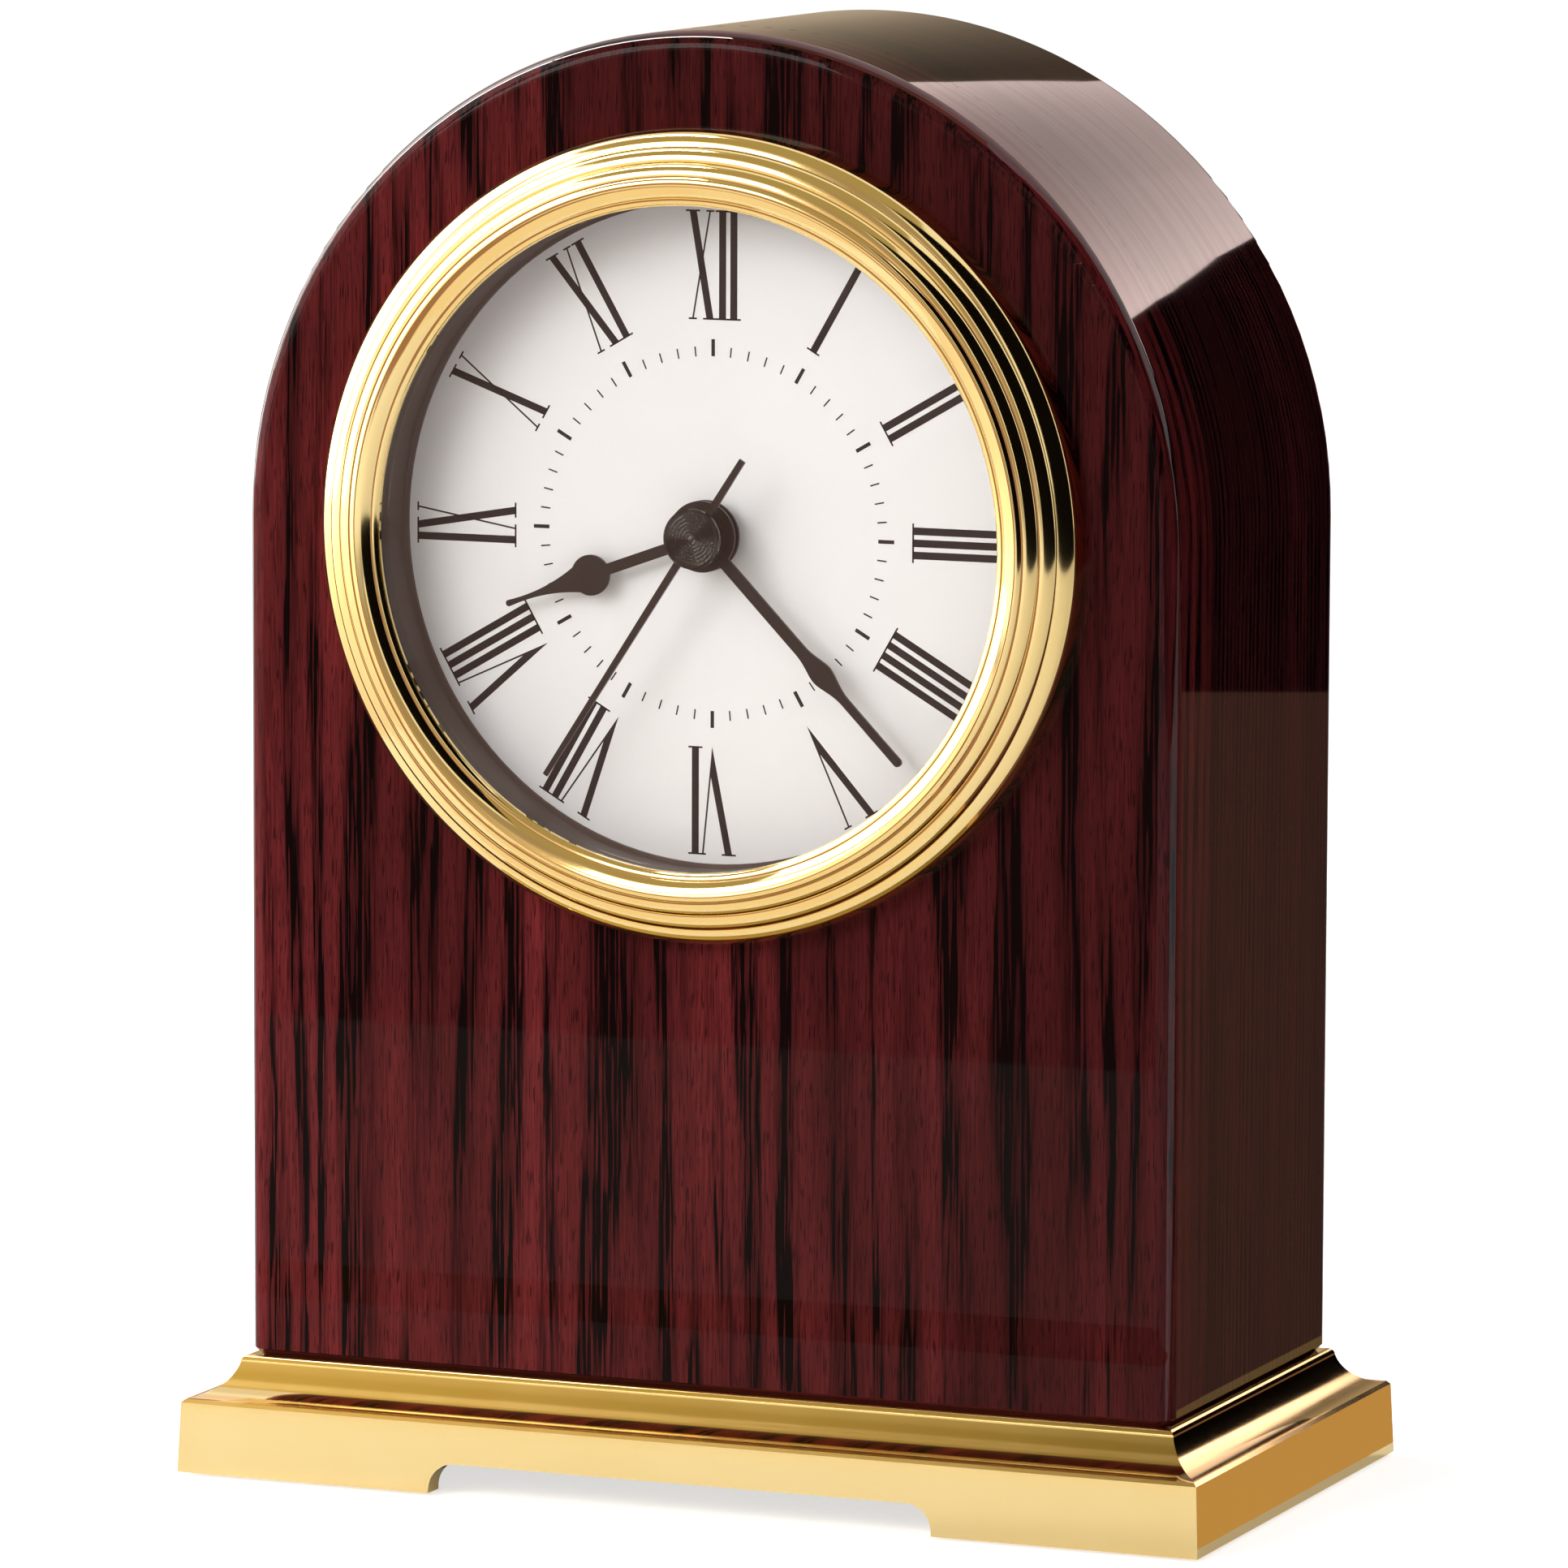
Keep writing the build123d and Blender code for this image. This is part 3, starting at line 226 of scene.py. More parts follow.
def lacquered_veneer(name, light, middle, dark, along, figure, coat, fall=(0.0, 0.0, 0.0)):
    """Rosewood-stained ash veneer under clear polyester lacquer rubbed to a mirror.

    along gives the wood's own coordinates: across the grain, through it, along it. figure is the
    spacing of the yearly rings in millimetres. Each ring has a soft dark row of open black pores and
    plain red wood between. coat is the weight of the lacquer's hard gloss, and the last argument is
    the painted shade: how fast it darkens the veneer along those coordinates.
    """
    material, tree, shader, place = start_material(
        name, Roughness=0.5, Specular_IOR_Level=0.0, Coat_Roughness=0.02, Coat_IOR=1.5
    )
    wood = along(tree, place)
    smooth_step = {"interpolation_type": "SMOOTHSTEP"}

    def grain(across, length, detail):
        """Noise as wide across the grain and as long as these sizes in millimetres."""
        scaled = add(tree, "Mapping", {"Scale": per_size(across, across, length)}, {"Vector": wood})
        return add(tree, "TexNoise", {"Scale": 1.0, "Detail": detail}, {"Vector": scaled.outputs[0]}).outputs[0]

    # The yearly rings: even steps across the board, bent by a slow wave along it
    split = add(tree, "SeparateXYZ", {}, {0: wood})
    steps = add(tree, "Math", {"operation": "MULTIPLY", 1: 1000 / figure}, {0: split.outputs[0]})
    bent = add(tree, "Math", {"operation": "MULTIPLY_ADD", 1: 6.0}, {0: grain(22, 260, 2.0), 2: steps.outputs[0]})
    ring = add(tree, "Math", {"operation": "FRACT"}, {0: bent.outputs[0]}).outputs[0]
    # Within a ring the dark row of pores comes quickly and fades slowly
    onset = add(tree, "MapRange", {**smooth_step, FROM_MIN: 0.0, FROM_MAX: 0.22}, {0: ring})
    fade = add(tree, "MapRange", {**smooth_step, FROM_MIN: 0.24, FROM_MAX: 0.8, TO_MIN: 1.0, TO_MAX: 0.0}, {0: ring})
    row = add(tree, "Math", {"operation": "MULTIPLY"}, {0: onset.outputs[0], 1: fade.outputs[0]})
    # Pores 0.4 mm wide in the rows and fibres 0.3 mm wide all over, drawn coarser than the real 0.1 mm
    pore_share = {FROM_MIN: 0.46, FROM_MAX: 0.54, TO_MIN: 0.25, TO_MAX: 1.0}
    pores = add(tree, "MapRange", pore_share, {0: grain(0.42, 16, 4.0)})
    fibres = add(tree, "MapRange", {FROM_MIN: 0.35, FROM_MAX: 0.7}, {0: grain(0.26, 8, 2.0)})
    # Short dark dashes between the rows
    dash_share = {FROM_MIN: 0.56, FROM_MAX: 0.64, TO_MIN: 0.0, TO_MAX: 0.7}
    dashes = add(tree, "MapRange", dash_share, {0: grain(0.2, 3.2, 1.0)})
    # Some rows are deep and some are faint, as the board was cut
    row_depth = {FROM_MIN: 0.38, FROM_MAX: 0.6, TO_MIN: 0.3, TO_MAX: 1.9}
    depth = add(tree, "MapRange", row_depth, {0: grain(5, 60, 2.0)})
    rows = add(tree, "Math", {"operation": "MULTIPLY"}, {0: row.outputs[0], 1: pores.outputs[0]})
    deep_rows = add(tree, "Math", {"operation": "MULTIPLY"}, {0: rows.outputs[0], 1: depth.outputs[0]})
    fibre_share = {"operation": "MULTIPLY_ADD", 1: 0.42}
    drawn = add(tree, "Math", fibre_share, {0: fibres.outputs[0], 2: deep_rows.outputs[0]})
    darker = {"operation": "MAXIMUM", "use_clamp": True}
    streak = add(tree, "Math", darker, {0: drawn.outputs[0], 1: dashes.outputs[0]})
    # The stain's tone, in slow bands 9 mm wide, less a painted shade that darkens it along the board
    shade = add(tree, "VectorMath", {"operation": "DOT_PRODUCT", 1: fall}, {0: wood})
    tone = add(tree, "Math", {"operation": "SUBTRACT"}, {0: grain(9, 120, 3.0), 1: shade.outputs["Value"]})
    band = add(tree, "MapRange", {**smooth_step, FROM_MIN: 0.25, FROM_MAX: 0.75}, {0: tone.outputs[0]})
    tones = {"data_type": "RGBA", COLOUR_A: colour(middle), COLOUR_B: colour(light)}
    body = add(tree, "Mix", tones, {0: band.outputs[0]})
    streaked = {"data_type": "RGBA", COLOUR_B: colour(dark)}
    veneer = add(tree, "Mix", streaked, {0: streak.outputs[0], COLOUR_A: body.outputs[2]})
    # The lacquer has sunk a little along the grain: fine long lines 0.8 mm apart in its shine
    sunk = {FROM_MIN: 0.35, FROM_MAX: 0.65, TO_MIN: coat, TO_MAX: coat * 0.9}
    gloss = add(tree, "MapRange", sunk, {0: grain(0.8, 90, 2.0)})
    tree.links.new(veneer.outputs[2], shader.inputs["Base Color"])
    tree.links.new(gloss.outputs[0], shader.inputs["Coat Weight"])
    return material


def upright_grain(tree, place):
    """Grain that runs straight up the front board."""
    return place


def wrapped_grain(tree, place):
    """Grain that follows the sides up and over the arch, so that it runs along the bent veneer."""
    split = add(tree, "SeparateXYZ", {}, {0: place})
    rise = add(tree, "Math", {"operation": "SUBTRACT", 1: ARCH_SPRING}, {0: split.outputs[2]})
    above = add(tree, "Math", {"operation": "MAXIMUM", 1: 0.0}, {0: rise.outputs[0]})
    below = add(tree, "Math", {"operation": "MINIMUM", 1: 0.0}, {0: rise.outputs[0]})
    turn = add(tree, "Math", {"operation": "ARCTAN2"}, {0: above.outputs[0], 1: split.outputs[0]})
    bent = {"operation": "MULTIPLY_ADD", 1: ARCH_RADIUS}
    arc = add(tree, "Math", bent, {0: turn.outputs[0], 2: below.outputs[0]})
    return add(tree, "CombineXYZ", {}, {0: split.outputs[1], 2: arc.outputs[0]}).outputs[0]


def plain_finish(name, light, dark, patch, roughness, grit=0.0, grit_size=0.4, **shader_values):
    """A moulded, pressed or painted surface: two close tones in soft patches, uneven gloss and a fine tooth.

    patch and grit_size are the sizes of the patches and of the tooth in millimetres, grit its height.
    """
    material, tree, shader, place = start_material(name, **shader_values)
    tone_noise = add(tree, "TexNoise", {"Scale": 1000 / patch, "Detail": 3.0}, {"Vector": place})
    grain_noise = add(tree, "TexNoise", {"Scale": 1000 / grit_size, "Detail": 2.0}, {"Vector": place})
    tones = {"data_type": "RGBA", COLOUR_A: colour(dark), COLOUR_B: colour(light)}
    tone = add(tree, "Mix", tones, {0: tone_noise.outputs[0]})
    uneven = {TO_MIN: roughness * 0.85, TO_MAX: roughness * 1.15}
    gloss = add(tree, "MapRange", uneven, {0: grain_noise.outputs[0]})
    tree.links.new(tone.outputs[2], shader.inputs["Base Color"])
    tree.links.new(gloss.outputs[0], shader.inputs["Roughness"])
    if grit:
        bump = add(tree, "Bump", {"Strength": 0.5, "Distance": grit * MM}, {"Height": grain_noise.outputs[0]})
        tree.links.new(bump.outputs[0], shader.inputs["Normal"])
    return material


def window_glass():
    """Flat float glass: clear, with a hard shine and a faint smear. Lamps reach the dial through it."""
    material, tree, shader, place = start_material(
        "float_glass", Roughness=0.0, IOR=1.5, Transmission_Weight=1.0, Base_Color=colour("FCFDFD")
    )
    smear = add(tree, "TexNoise", {"Scale": 1000 / 25, "Detail": 2.0}, {"Vector": place})
    film = add(tree, "MapRange", {TO_MIN: 0.0, TO_MAX: 0.012}, {0: smear.outputs[0]})
    tree.links.new(film.outputs[0], shader.inputs["Roughness"])
    clear = add(tree, "BsdfTransparent", {"Color": colour("F4F6F6")})
    shadow = add(tree, "LightPath").outputs["Is Shadow Ray"]
    lit = add(tree, "MixShader", {}, {0: shadow, 1: shader.outputs[0], 2: clear.outputs[0]})
    output = next(n for n in tree.nodes if n.type == "OUTPUT_MATERIAL")
    tree.links.new(lit.outputs[0], output.inputs["Surface"])
    return material


def copper_winding():
    """Enamelled copper wire in close turns: dark orange gloss in rings, drawn far coarser than the wire."""
    material, tree, shader, place = start_material(
        "enamelled_copper_wire", Metallic=1.0, Roughness=0.28, Coat_Weight=0.6
    )
    # This texture holds 20 radians in one unit, and a turn is drawn 1.9 mm wide
    rings = {"bands_direction": "X", "Scale": 1000 / 6, "Distortion": 0.6, "Detail": 1.0}
    turns = add(tree, "TexWave", rings, {"Vector": place}).outputs["Fac"]
    tones = {"data_type": "RGBA", COLOUR_A: colour("5A2410"), COLOUR_B: colour("C0602C")}
    tone = add(tree, "Mix", tones, {0: turns})
    bump = add(tree, "Bump", {"Strength": 0.6, "Distance": 0.1 * MM}, {"Height": turns})
    tree.links.new(tone.outputs[2], shader.inputs["Base Color"])
    tree.links.new(bump.outputs[0], shader.inputs["Normal"])
    return material


def pressed_felt():
    """Wool felt, pressed and cut to discs: matt black with short tangled fibres, 0.5 mm a tangle."""
    material, tree, shader, place = start_material(
        "pressed_wool_felt", Roughness=0.95, Sheen_Weight=0.35, Sheen_Roughness=0.5
    )
    tangle = {"Scale": 1000 / 0.5, "Detail": 5.0, "Distortion": 1.5}
    fibres = add(tree, "TexNoise", tangle, {"Vector": place})
    tones = {"data_type": "RGBA", COLOUR_A: colour("121113"), COLOUR_B: colour("2E2B2D")}
    tone = add(tree, "Mix", tones, {0: fibres.outputs[0]})
    bump = add(tree, "Bump", {"Strength": 0.8, "Distance": 0.15 * MM}, {"Height": fibres.outputs[0]})
    tree.links.new(tone.outputs[2], shader.inputs["Base Color"])
    tree.links.new(bump.outputs[0], shader.inputs["Normal"])
    return material


def pressed_board():
    """Hardboard pressed from wood fibre and stained: satin brown, with short flattened fibres in all directions."""
    material, tree, shader, place = start_material("stained_hardboard", Roughness=0.6)
    # Fibres 1.2 mm long in a mottle of 12 mm
    fibres = add(tree, "TexNoise", {"Scale": 1000 / 1.2, "Detail": 6.0, "Distortion": 2.5}, {"Vector": place})
    mottle = add(tree, "TexNoise", {"Scale": 1000 / 12, "Detail": 2.0}, {"Vector": place})
    both = add(tree, "Math", {"operation": "MULTIPLY"}, {0: fibres.outputs[0], 1: mottle.outputs[0]})
    share = add(tree, "MapRange", {FROM_MIN: 0.12, FROM_MAX: 0.42}, {0: both.outputs[0]})
    tones = {"data_type": "RGBA", COLOUR_A: colour("1E1512"), COLOUR_B: colour("3A2A22")}
    tone = add(tree, "Mix", tones, {0: share.outputs[0]})
    bump = add(tree, "Bump", {"Strength": 0.35, "Distance": 0.08 * MM}, {"Height": fibres.outputs[0]})
    tree.links.new(tone.outputs[2], shader.inputs["Base Color"])
    tree.links.new(bump.outputs[0], shader.inputs["Normal"])
    return material


MATERIALS = {
    "bezel": turned_brass(),
    "base_plinth": buffed_brass(),
    # The front's veneer is painted darker to the right and upwards: a painted shade of the light falling off
    "case_front": lacquered_veneer(
        "front_veneer", "74282A", "471718", "0C0405", upright_grain, figure=5.6, coat=0.16, fall=(3.0, 0.0, 1.2)
    ),
    "case_surround": lacquered_veneer(
        "side_veneer", "48181A", "240C0E", "040202", wrapped_grain, figure=1.3, coat=1.0
    ),
    "back_panel": pressed_board(),
    "foot_pads": pressed_felt(),
    "crystal": window_glass(),
    "coil_winding": copper_winding(),
}
PLAIN_FINISHES = (
    # Fibreboard, sawn: dull tan with a coarse tooth
    (("case_bottom",), plain_finish("fibreboard", "9A7A58", "82633F", 8, 0.8, 0.05)),
    # Brown paint on a turned ring: a dim satin
    (("reflector_ring",), plain_finish(
        "painted_reflector", "54433D", "43352F", 20, 0.42, Specular_IOR_Level=0.25
    )),
    # White enamel paint, sprayed: an even soft white
    (("dial",), plain_finish("satin_dial_enamel", "F0EEF0", "EAE8EA", 25, 0.5)),
    # Zinc on steel: light grey metal with a blurred shine
    (("base_screws", "back_panel_screws", "cup_screws", "movement_screws"), plain_finish(
        "zinc_plated_steel", "C9CCD0", "A9ABAD", 2, 0.28, Metallic=1.0
    )),
    # ABS from a sparked mould: near black with a fine tooth
    (("insert_cup", "movement_tray", "movement_cover", "set_knob"), plain_finish(
        "moulded_black_abs", "242326", "1A191C", 15, 0.45, 0.02
    )),
    # Acetal from a smooth mould: waxy cream that lets a little light in
    ((
        "hour_wheel", "motion_wheel", "minute_arbor",
        "centre_wheel", "third_wheel", "seconds_wheel", "fourth_wheel",
    ), plain_finish(
        "moulded_acetal", "E9E6DA", "DCD8C9", 5, 0.35, Subsurface_Weight=0.1, Subsurface_Scale=0.5 * MM
    )),
    # Brown-black paint on pressed brass: a low shine
    (("hour_hand", "minute_hand", "second_hand"), plain_finish(
        "painted_hand_brass", "241512", "190E0C", 6, 0.3, 0.004, Specular_IOR_Level=0.3
    )),
    # The cap's paint is glossier, so its turned rings catch the light
    (("hand_cap",), plain_finish(
        "glossy_cap_paint", "1A0F0D", "120A08", 6, 0.25,
        Specular_IOR_Level=0.3, Coat_Weight=0.2, Coat_Roughness=0.1,
    )),
    # Rubber, moulded: dull black
    (("grip_ring",), plain_finish("moulded_rubber", "201F1F", "161515", 10, 0.75, 0.04)),
    # Magnet, pressed from powder and ground: dark grey metal
    (("rotor",), plain_finish("sintered_magnet", "5A5B5E", "3E3F42", 2, 0.4, 0.01, Metallic=0.9)),
    # Soft iron sheet, stamped and annealed: mid grey, slightly blurred
    (("stator_plate", "coil_core"), plain_finish(
        "annealed_iron_sheet", "8E9092", "6F7174", 4, 0.35, Metallic=1.0
    )),
    # Nylon, moulded: cream with a soft shine
    (("coil_bobbin", "train_plate"), plain_finish("moulded_nylon", "E2DCCB", "D2CBB6", 6, 0.4)),
    # Solder resist, screened and baked: green under a clear gloss
    (("circuit_board",), plain_finish("solder_resist", "1E5C38", "164A2C", 4, 0.25, Coat_Weight=0.5)),
    # Epoxy, dropped on and cured: a black gloss bead
    (("clock_chip",), plain_finish("epoxy_drop", "141416", "0B0B0D", 3, 0.15)),
    # Tinned can, deep drawn: bright grey metal
    (("quartz_can",), plain_finish("drawn_tin_can", "D5D6D7", "BDBEC0", 3, 0.22, Metallic=1.0)),
    # Foil sleeve, shrunk on: dark blue-grey with a metal sheen
    (("battery",), plain_finish("foil_battery_jacket", "2B3038", "20242B", 12, 0.3, Metallic=0.5)),
    # Nickel on spring steel: warm light grey metal
    (("positive_contact", "negative_contact"), plain_finish(
        "nickel_plated_spring_steel", "CFC9BC", "B5AE9F", 3, 0.25, Metallic=1.0
    )),
)
for names, material in PLAIN_FINISHES:
    for name in names:
        MATERIALS[name] = material
# The front board's edge is lipped with a strip of redder veneer, bent round it
EDGE_VENEER = lacquered_veneer("edge_veneer", "641F21", "3C1314", "0A0404", wrapped_grain, figure=2.6, coat=1.0)
# Ink pressed on by a soft pad: flat brown-black
PRINTING_INK = plain_finish("pad_printing_ink", "20151A", "181014", 3, 0.5, Specular_IOR_Level=0.15)

for name, material in MATERIALS.items():
    nodes[name].data.materials.clear()
    nodes[name].data.materials.append(material)


def shade_round(maker, crease):
    """Shades every face as round, with edges where the faces turn by more than the crease in degrees."""
    for face in maker.faces:
        face.smooth = True
    for edge in maker.edges:
        edge.smooth = edge.calc_face_angle(0) < math.radians(crease)


def linked_object(name, maker, material):
    """Turns a finished bmesh into an object of one material, at the origin of the row frame."""
    mesh = bpy.data.meshes.new(name)
    maker.to_mesh(mesh)
    maker.free()
    mesh.materials.append(material)
    piece = bpy.data.objects.new(name, mesh)
    scene.collection.objects.link(piece)
    return piece


def smoothed_piece(name, node):
    """A CAD node's shape with its triangles joined and its round faces shaded as round, in the node's place."""
    maker = bmesh.new()
    maker.from_mesh(nodes[node].data)
    bmesh.ops.remove_doubles(maker, verts=maker.verts, dist=MERGED)
    bmesh.ops.dissolve_limit(maker, angle_limit=math.radians(FLAT_FOLD), verts=maker.verts, edges=maker.edges)
    shade_round(maker, CREASE)
    piece = linked_object(name, maker, MATERIALS[node])
    attributes = piece.data.attributes
    for layer in [a for a in attributes if a.name == "custom_normal"]:
        attributes.remove(layer)
    weighted = piece.modifiers.new("even_shading", "WEIGHTED_NORMAL")
    weighted.keep_sharp = True
    weighted.weight = 100
    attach(piece, nodes[node]["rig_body"])
    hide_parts(node)
    return piece


def make_piece(name, mesh_maker, material, body):
    """Makes a piece with a function that fills its bmesh, and lets it ride on a body."""
    maker = bmesh.new()
    mesh_maker(maker)
    piece = linked_object(name, maker, material)
    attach(piece, body)
    return piece


def reed_arc(outer, inner, bulge):
    """Points along one reed from its outer groove to just short of its inner one."""
    start, end = Vector(outer), Vector(inner)
    along = (end - start).normalized()
    out = Vector((along.y, -along.x))
    half_turn = 2 * math.atan(2 * bulge)
    size = (end - start).length / 2 / math.sin(half_turn)
    turns = [half_turn * (2 * step / REED_STEPS - 1) for step in range(REED_STEPS)]
    heights = [math.cos(turn) - math.cos(half_turn) for turn in turns]
    return [
        (start + end) / 2 + size * (along * math.sin(turn) + out * height)
        for turn, height in zip(turns, heights)
    ]


def turn_bezel(maker):
    """The bezel spun in fine steps from its profile, so that its reeds mirror in unbroken lines."""
    profile = []
    for (*outer, bulge), (*inner, _) in zip(BEZEL_ARCS, BEZEL_ARCS[1:]):
        profile += reed_arc(outer, inner, bulge)
    profile += [Vector(BEZEL_ARCS[-1][:2])] + [Vector(point) for point in BEZEL_BACK]
    corners = [
        maker.verts.new((dial_middle.x + radius * MM, -ahead * MM, dial_middle.z)) for radius, ahead in profile
    ]
    edges = [maker.edges.new((a, b)) for a, b in zip(corners, corners[1:] + corners[:1])]
    bmesh.ops.spin(
        maker,
        geom=corners + edges,
        cent=dial_middle,
        axis=(0, 1, 0),
        angle=2 * math.pi,
        steps=BEZEL_TURNS,
        use_merge=True,
    )
    bmesh.ops.recalc_face_normals(maker, faces=maker.faces)
    shade_round(maker, BEZEL_CREASE)


def ink(maker, corners, turn):
    """One printed stroke: its flat corners, across and up from the dial's middle, turned clockwise and raised."""
    around = Matrix.Translation((dial_middle.x, dial_face, dial_middle.z)) @ Matrix.Rotation(turn, 4, "Y")
    points = [maker.verts.new(around @ Vector((across, 0, up))) for across, up in corners]
    face = maker.faces.new(points)
    face.normal_update()
    if face.normal.y > 0:
        face.normal_flip()
    grown = bmesh.ops.extrude_face_region(maker, geom=[face])
    moved = [item for item in grown["geom"] if isinstance(item, bmesh.types.BMVert)]
    bmesh.ops.translate(maker, verts=moved, vec=(0, -INK_THICKNESS, 0))


def bar(foot, head, width, low=NUMERAL_FOOT, high=NUMERAL_HEAD):
    """A stroke from foot to head, its ends cut level."""
    half = width / 2
    return [(foot - half, low), (foot + half, low), (head + half, high), (head - half, high)]


def serif(middle, level, length):
    """A hairline across the end of a stroke."""
    edge = level + math.copysign(NUMERAL_HAIRLINE, NUMERAL_FOOT + NUMERAL_HEAD - 2 * level)
    left, right = middle - length / 2, middle + length / 2
    return [(left, level), (right, level), (right, edge), (left, edge)]


def letter_i(place):
    """A thick stroke with a serif at each end."""
    return [
        bar(place, place, NUMERAL_BAR),
        serif(place, NUMERAL_FOOT, SERIF_LENGTH),
        serif(place, NUMERAL_HEAD, SERIF_LENGTH),
    ]


def letter_v(place):
    """A thick stroke down from the left, a hairline up to the right, and the point that they share."""
    head_left = place - V_LEFT
    head_right = place + V_RIGHT
    fork = NUMERAL_FOOT + V_FORK * (NUMERAL_HEAD - NUMERAL_FOOT)
    fork_left = place - V_LEFT * V_FORK
    fork_right = place + V_RIGHT * V_FORK
    thick = [
        (fork_left, fork),
        (fork_left + NUMERAL_BAR, fork),
        (head_left + NUMERAL_BAR, NUMERAL_HEAD),
        (head_left, NUMERAL_HEAD),
    ]
    thin = [
        (fork_right - NUMERAL_HAIRLINE, fork),
        (fork_right, fork),
        (head_right, NUMERAL_HEAD),
        (head_right - NUMERAL_HAIRLINE, NUMERAL_HEAD),
    ]
    point = [(place, NUMERAL_FOOT), (fork_right, fork), (fork_left, fork)]
    return [
        thick,
        thin,
        point,
        serif(head_left + NUMERAL_BAR / 2, NUMERAL_HEAD, SERIF_LENGTH),
        serif(head_right, NUMERAL_HEAD, THIN_SERIF_LENGTH),
    ]


def letter_x(place):
    """A thick stroke down from the left, a hairline across it, and a serif at each end."""
    left, right = place - X_LEAN, place + X_LEAN
    return [
        bar(right, left, NUMERAL_BAR),
        bar(left, right, NUMERAL_HAIRLINE),
        serif(left, NUMERAL_HEAD, SERIF_LENGTH),
        serif(right, NUMERAL_FOOT, SERIF_LENGTH),
        serif(right, NUMERAL_HEAD, THIN_SERIF_LENGTH),
        serif(left, NUMERAL_FOOT, THIN_SERIF_LENGTH),
    ]


LETTERS = {"I": letter_i, "V": letter_v, "X": letter_x}


def print_numerals(maker):
    """Roman numerals round the dial, their feet to its middle."""
    for hour, numeral in enumerate(NUMERALS):
        places = [0.0]
        for pair in zip(numeral, numeral[1:]):
            places.append(places[-1] + LETTER_STEP["".join(pair)])
        left = places[0] - LETTER_REACH[numeral[0]][0]
        right = places[-1] + LETTER_REACH[numeral[-1]][1]
        for letter, place in zip(numeral, places):
            for corners in LETTERS[letter](place - (left + right) / 2):
                ink(maker, corners, math.radians(360 / 12 * hour))


def print_minute_track(maker):
    """Sixty marks inside the numerals, the twelve at the hours longer and bolder."""
    for minute in range(60):
        on_hour = minute % 5 == 0
        head = HOUR_MARK_HEAD if on_hour else MINUTE_MARK_HEAD
        width = HOUR_MARK_WIDTH if on_hour else MINUTE_MARK_WIDTH
        ink(maker, bar(0, 0, width, TRACK_FOOT, head), math.radians(360 / 60 * minute))


lacquered_front = smoothed_piece("lacquered_front", "case_front")
smoothed_piece("lacquered_surround", "case_surround")
lacquered_front.data.materials.append(EDGE_VENEER)
for face in lacquered_front.data.polygons:
    face.material_index = 0 if face.normal.y < FRONTWARD else 1

polished_bezel = make_piece(
    "polished_bezel", turn_bezel, MATERIALS["bezel"], nodes["bezel"]["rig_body"]
)
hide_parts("bezel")
make_piece("hour_numerals", print_numerals, PRINTING_INK, "case")
make_piece("minute_track", print_minute_track, PRINTING_INK, "case")


# The studio, in metres. White paper is 1 in all its strengths.
FLOOR_REACH = 12.0
# How much the floor glows for the camera and glass, which then show it white, and for gloss
FLOOR_SHOWN = 0.66
FLOOR_MIRRORED = 0.12
# The even light of the room on the clock, and the white that the camera, glass and gloss see round it
ROOM_LIGHT = 0.4
ROOM_WHITE = 1.0

LAMP_AIM = (0, 0, 0.09)
# Each softbox's place, width and height, its strength, and whether gloss shows it
LAMPS = {
    "left_softbox": ((-0.6, -1.12, 0.68), 0.6, 0.6, 6.6, True),
    "left_kicker": ((-1.1, 0.15, 0.4), 0.5, 0.7, 14.0, False),
    "front_softbox": ((0.0, -1.3, 0.9), 0.9, 0.7, 1.5, False),
}

# Cards on the floor lie this high, and the flag hangs this high over the plinth's cove
CARD_LIFT = 0.001
FLAG_HEIGHT = 0.0205
# The floor ahead of the clock is bright from NEAR to STEP, and dim from there to FAR
NEAR, STEP, FAR = -0.092, -0.34, -4.5
# The room's walls, and the step between cards that hang one before another
LEFT_WALL, FRONT_WALL, REAR_WALL, CEILING = -1.9, -2.2, 2.0, 2.2
LAYER = 0.01
STRIP_LEFT = LEFT_WALL + 2 * LAYER
X_AXIS, Z_AXIS = 0, 2


def lying(height, *places):
    """Corners of a card that lies or hangs flat at one height."""
    return [(*place, height) for place in places]


def standing(left, right, low, high):
    """Corners of a card that stands between two places on the floor, from one height to another."""
    return [(*left, low), (*right, low), (*right, high), (*left, high)]


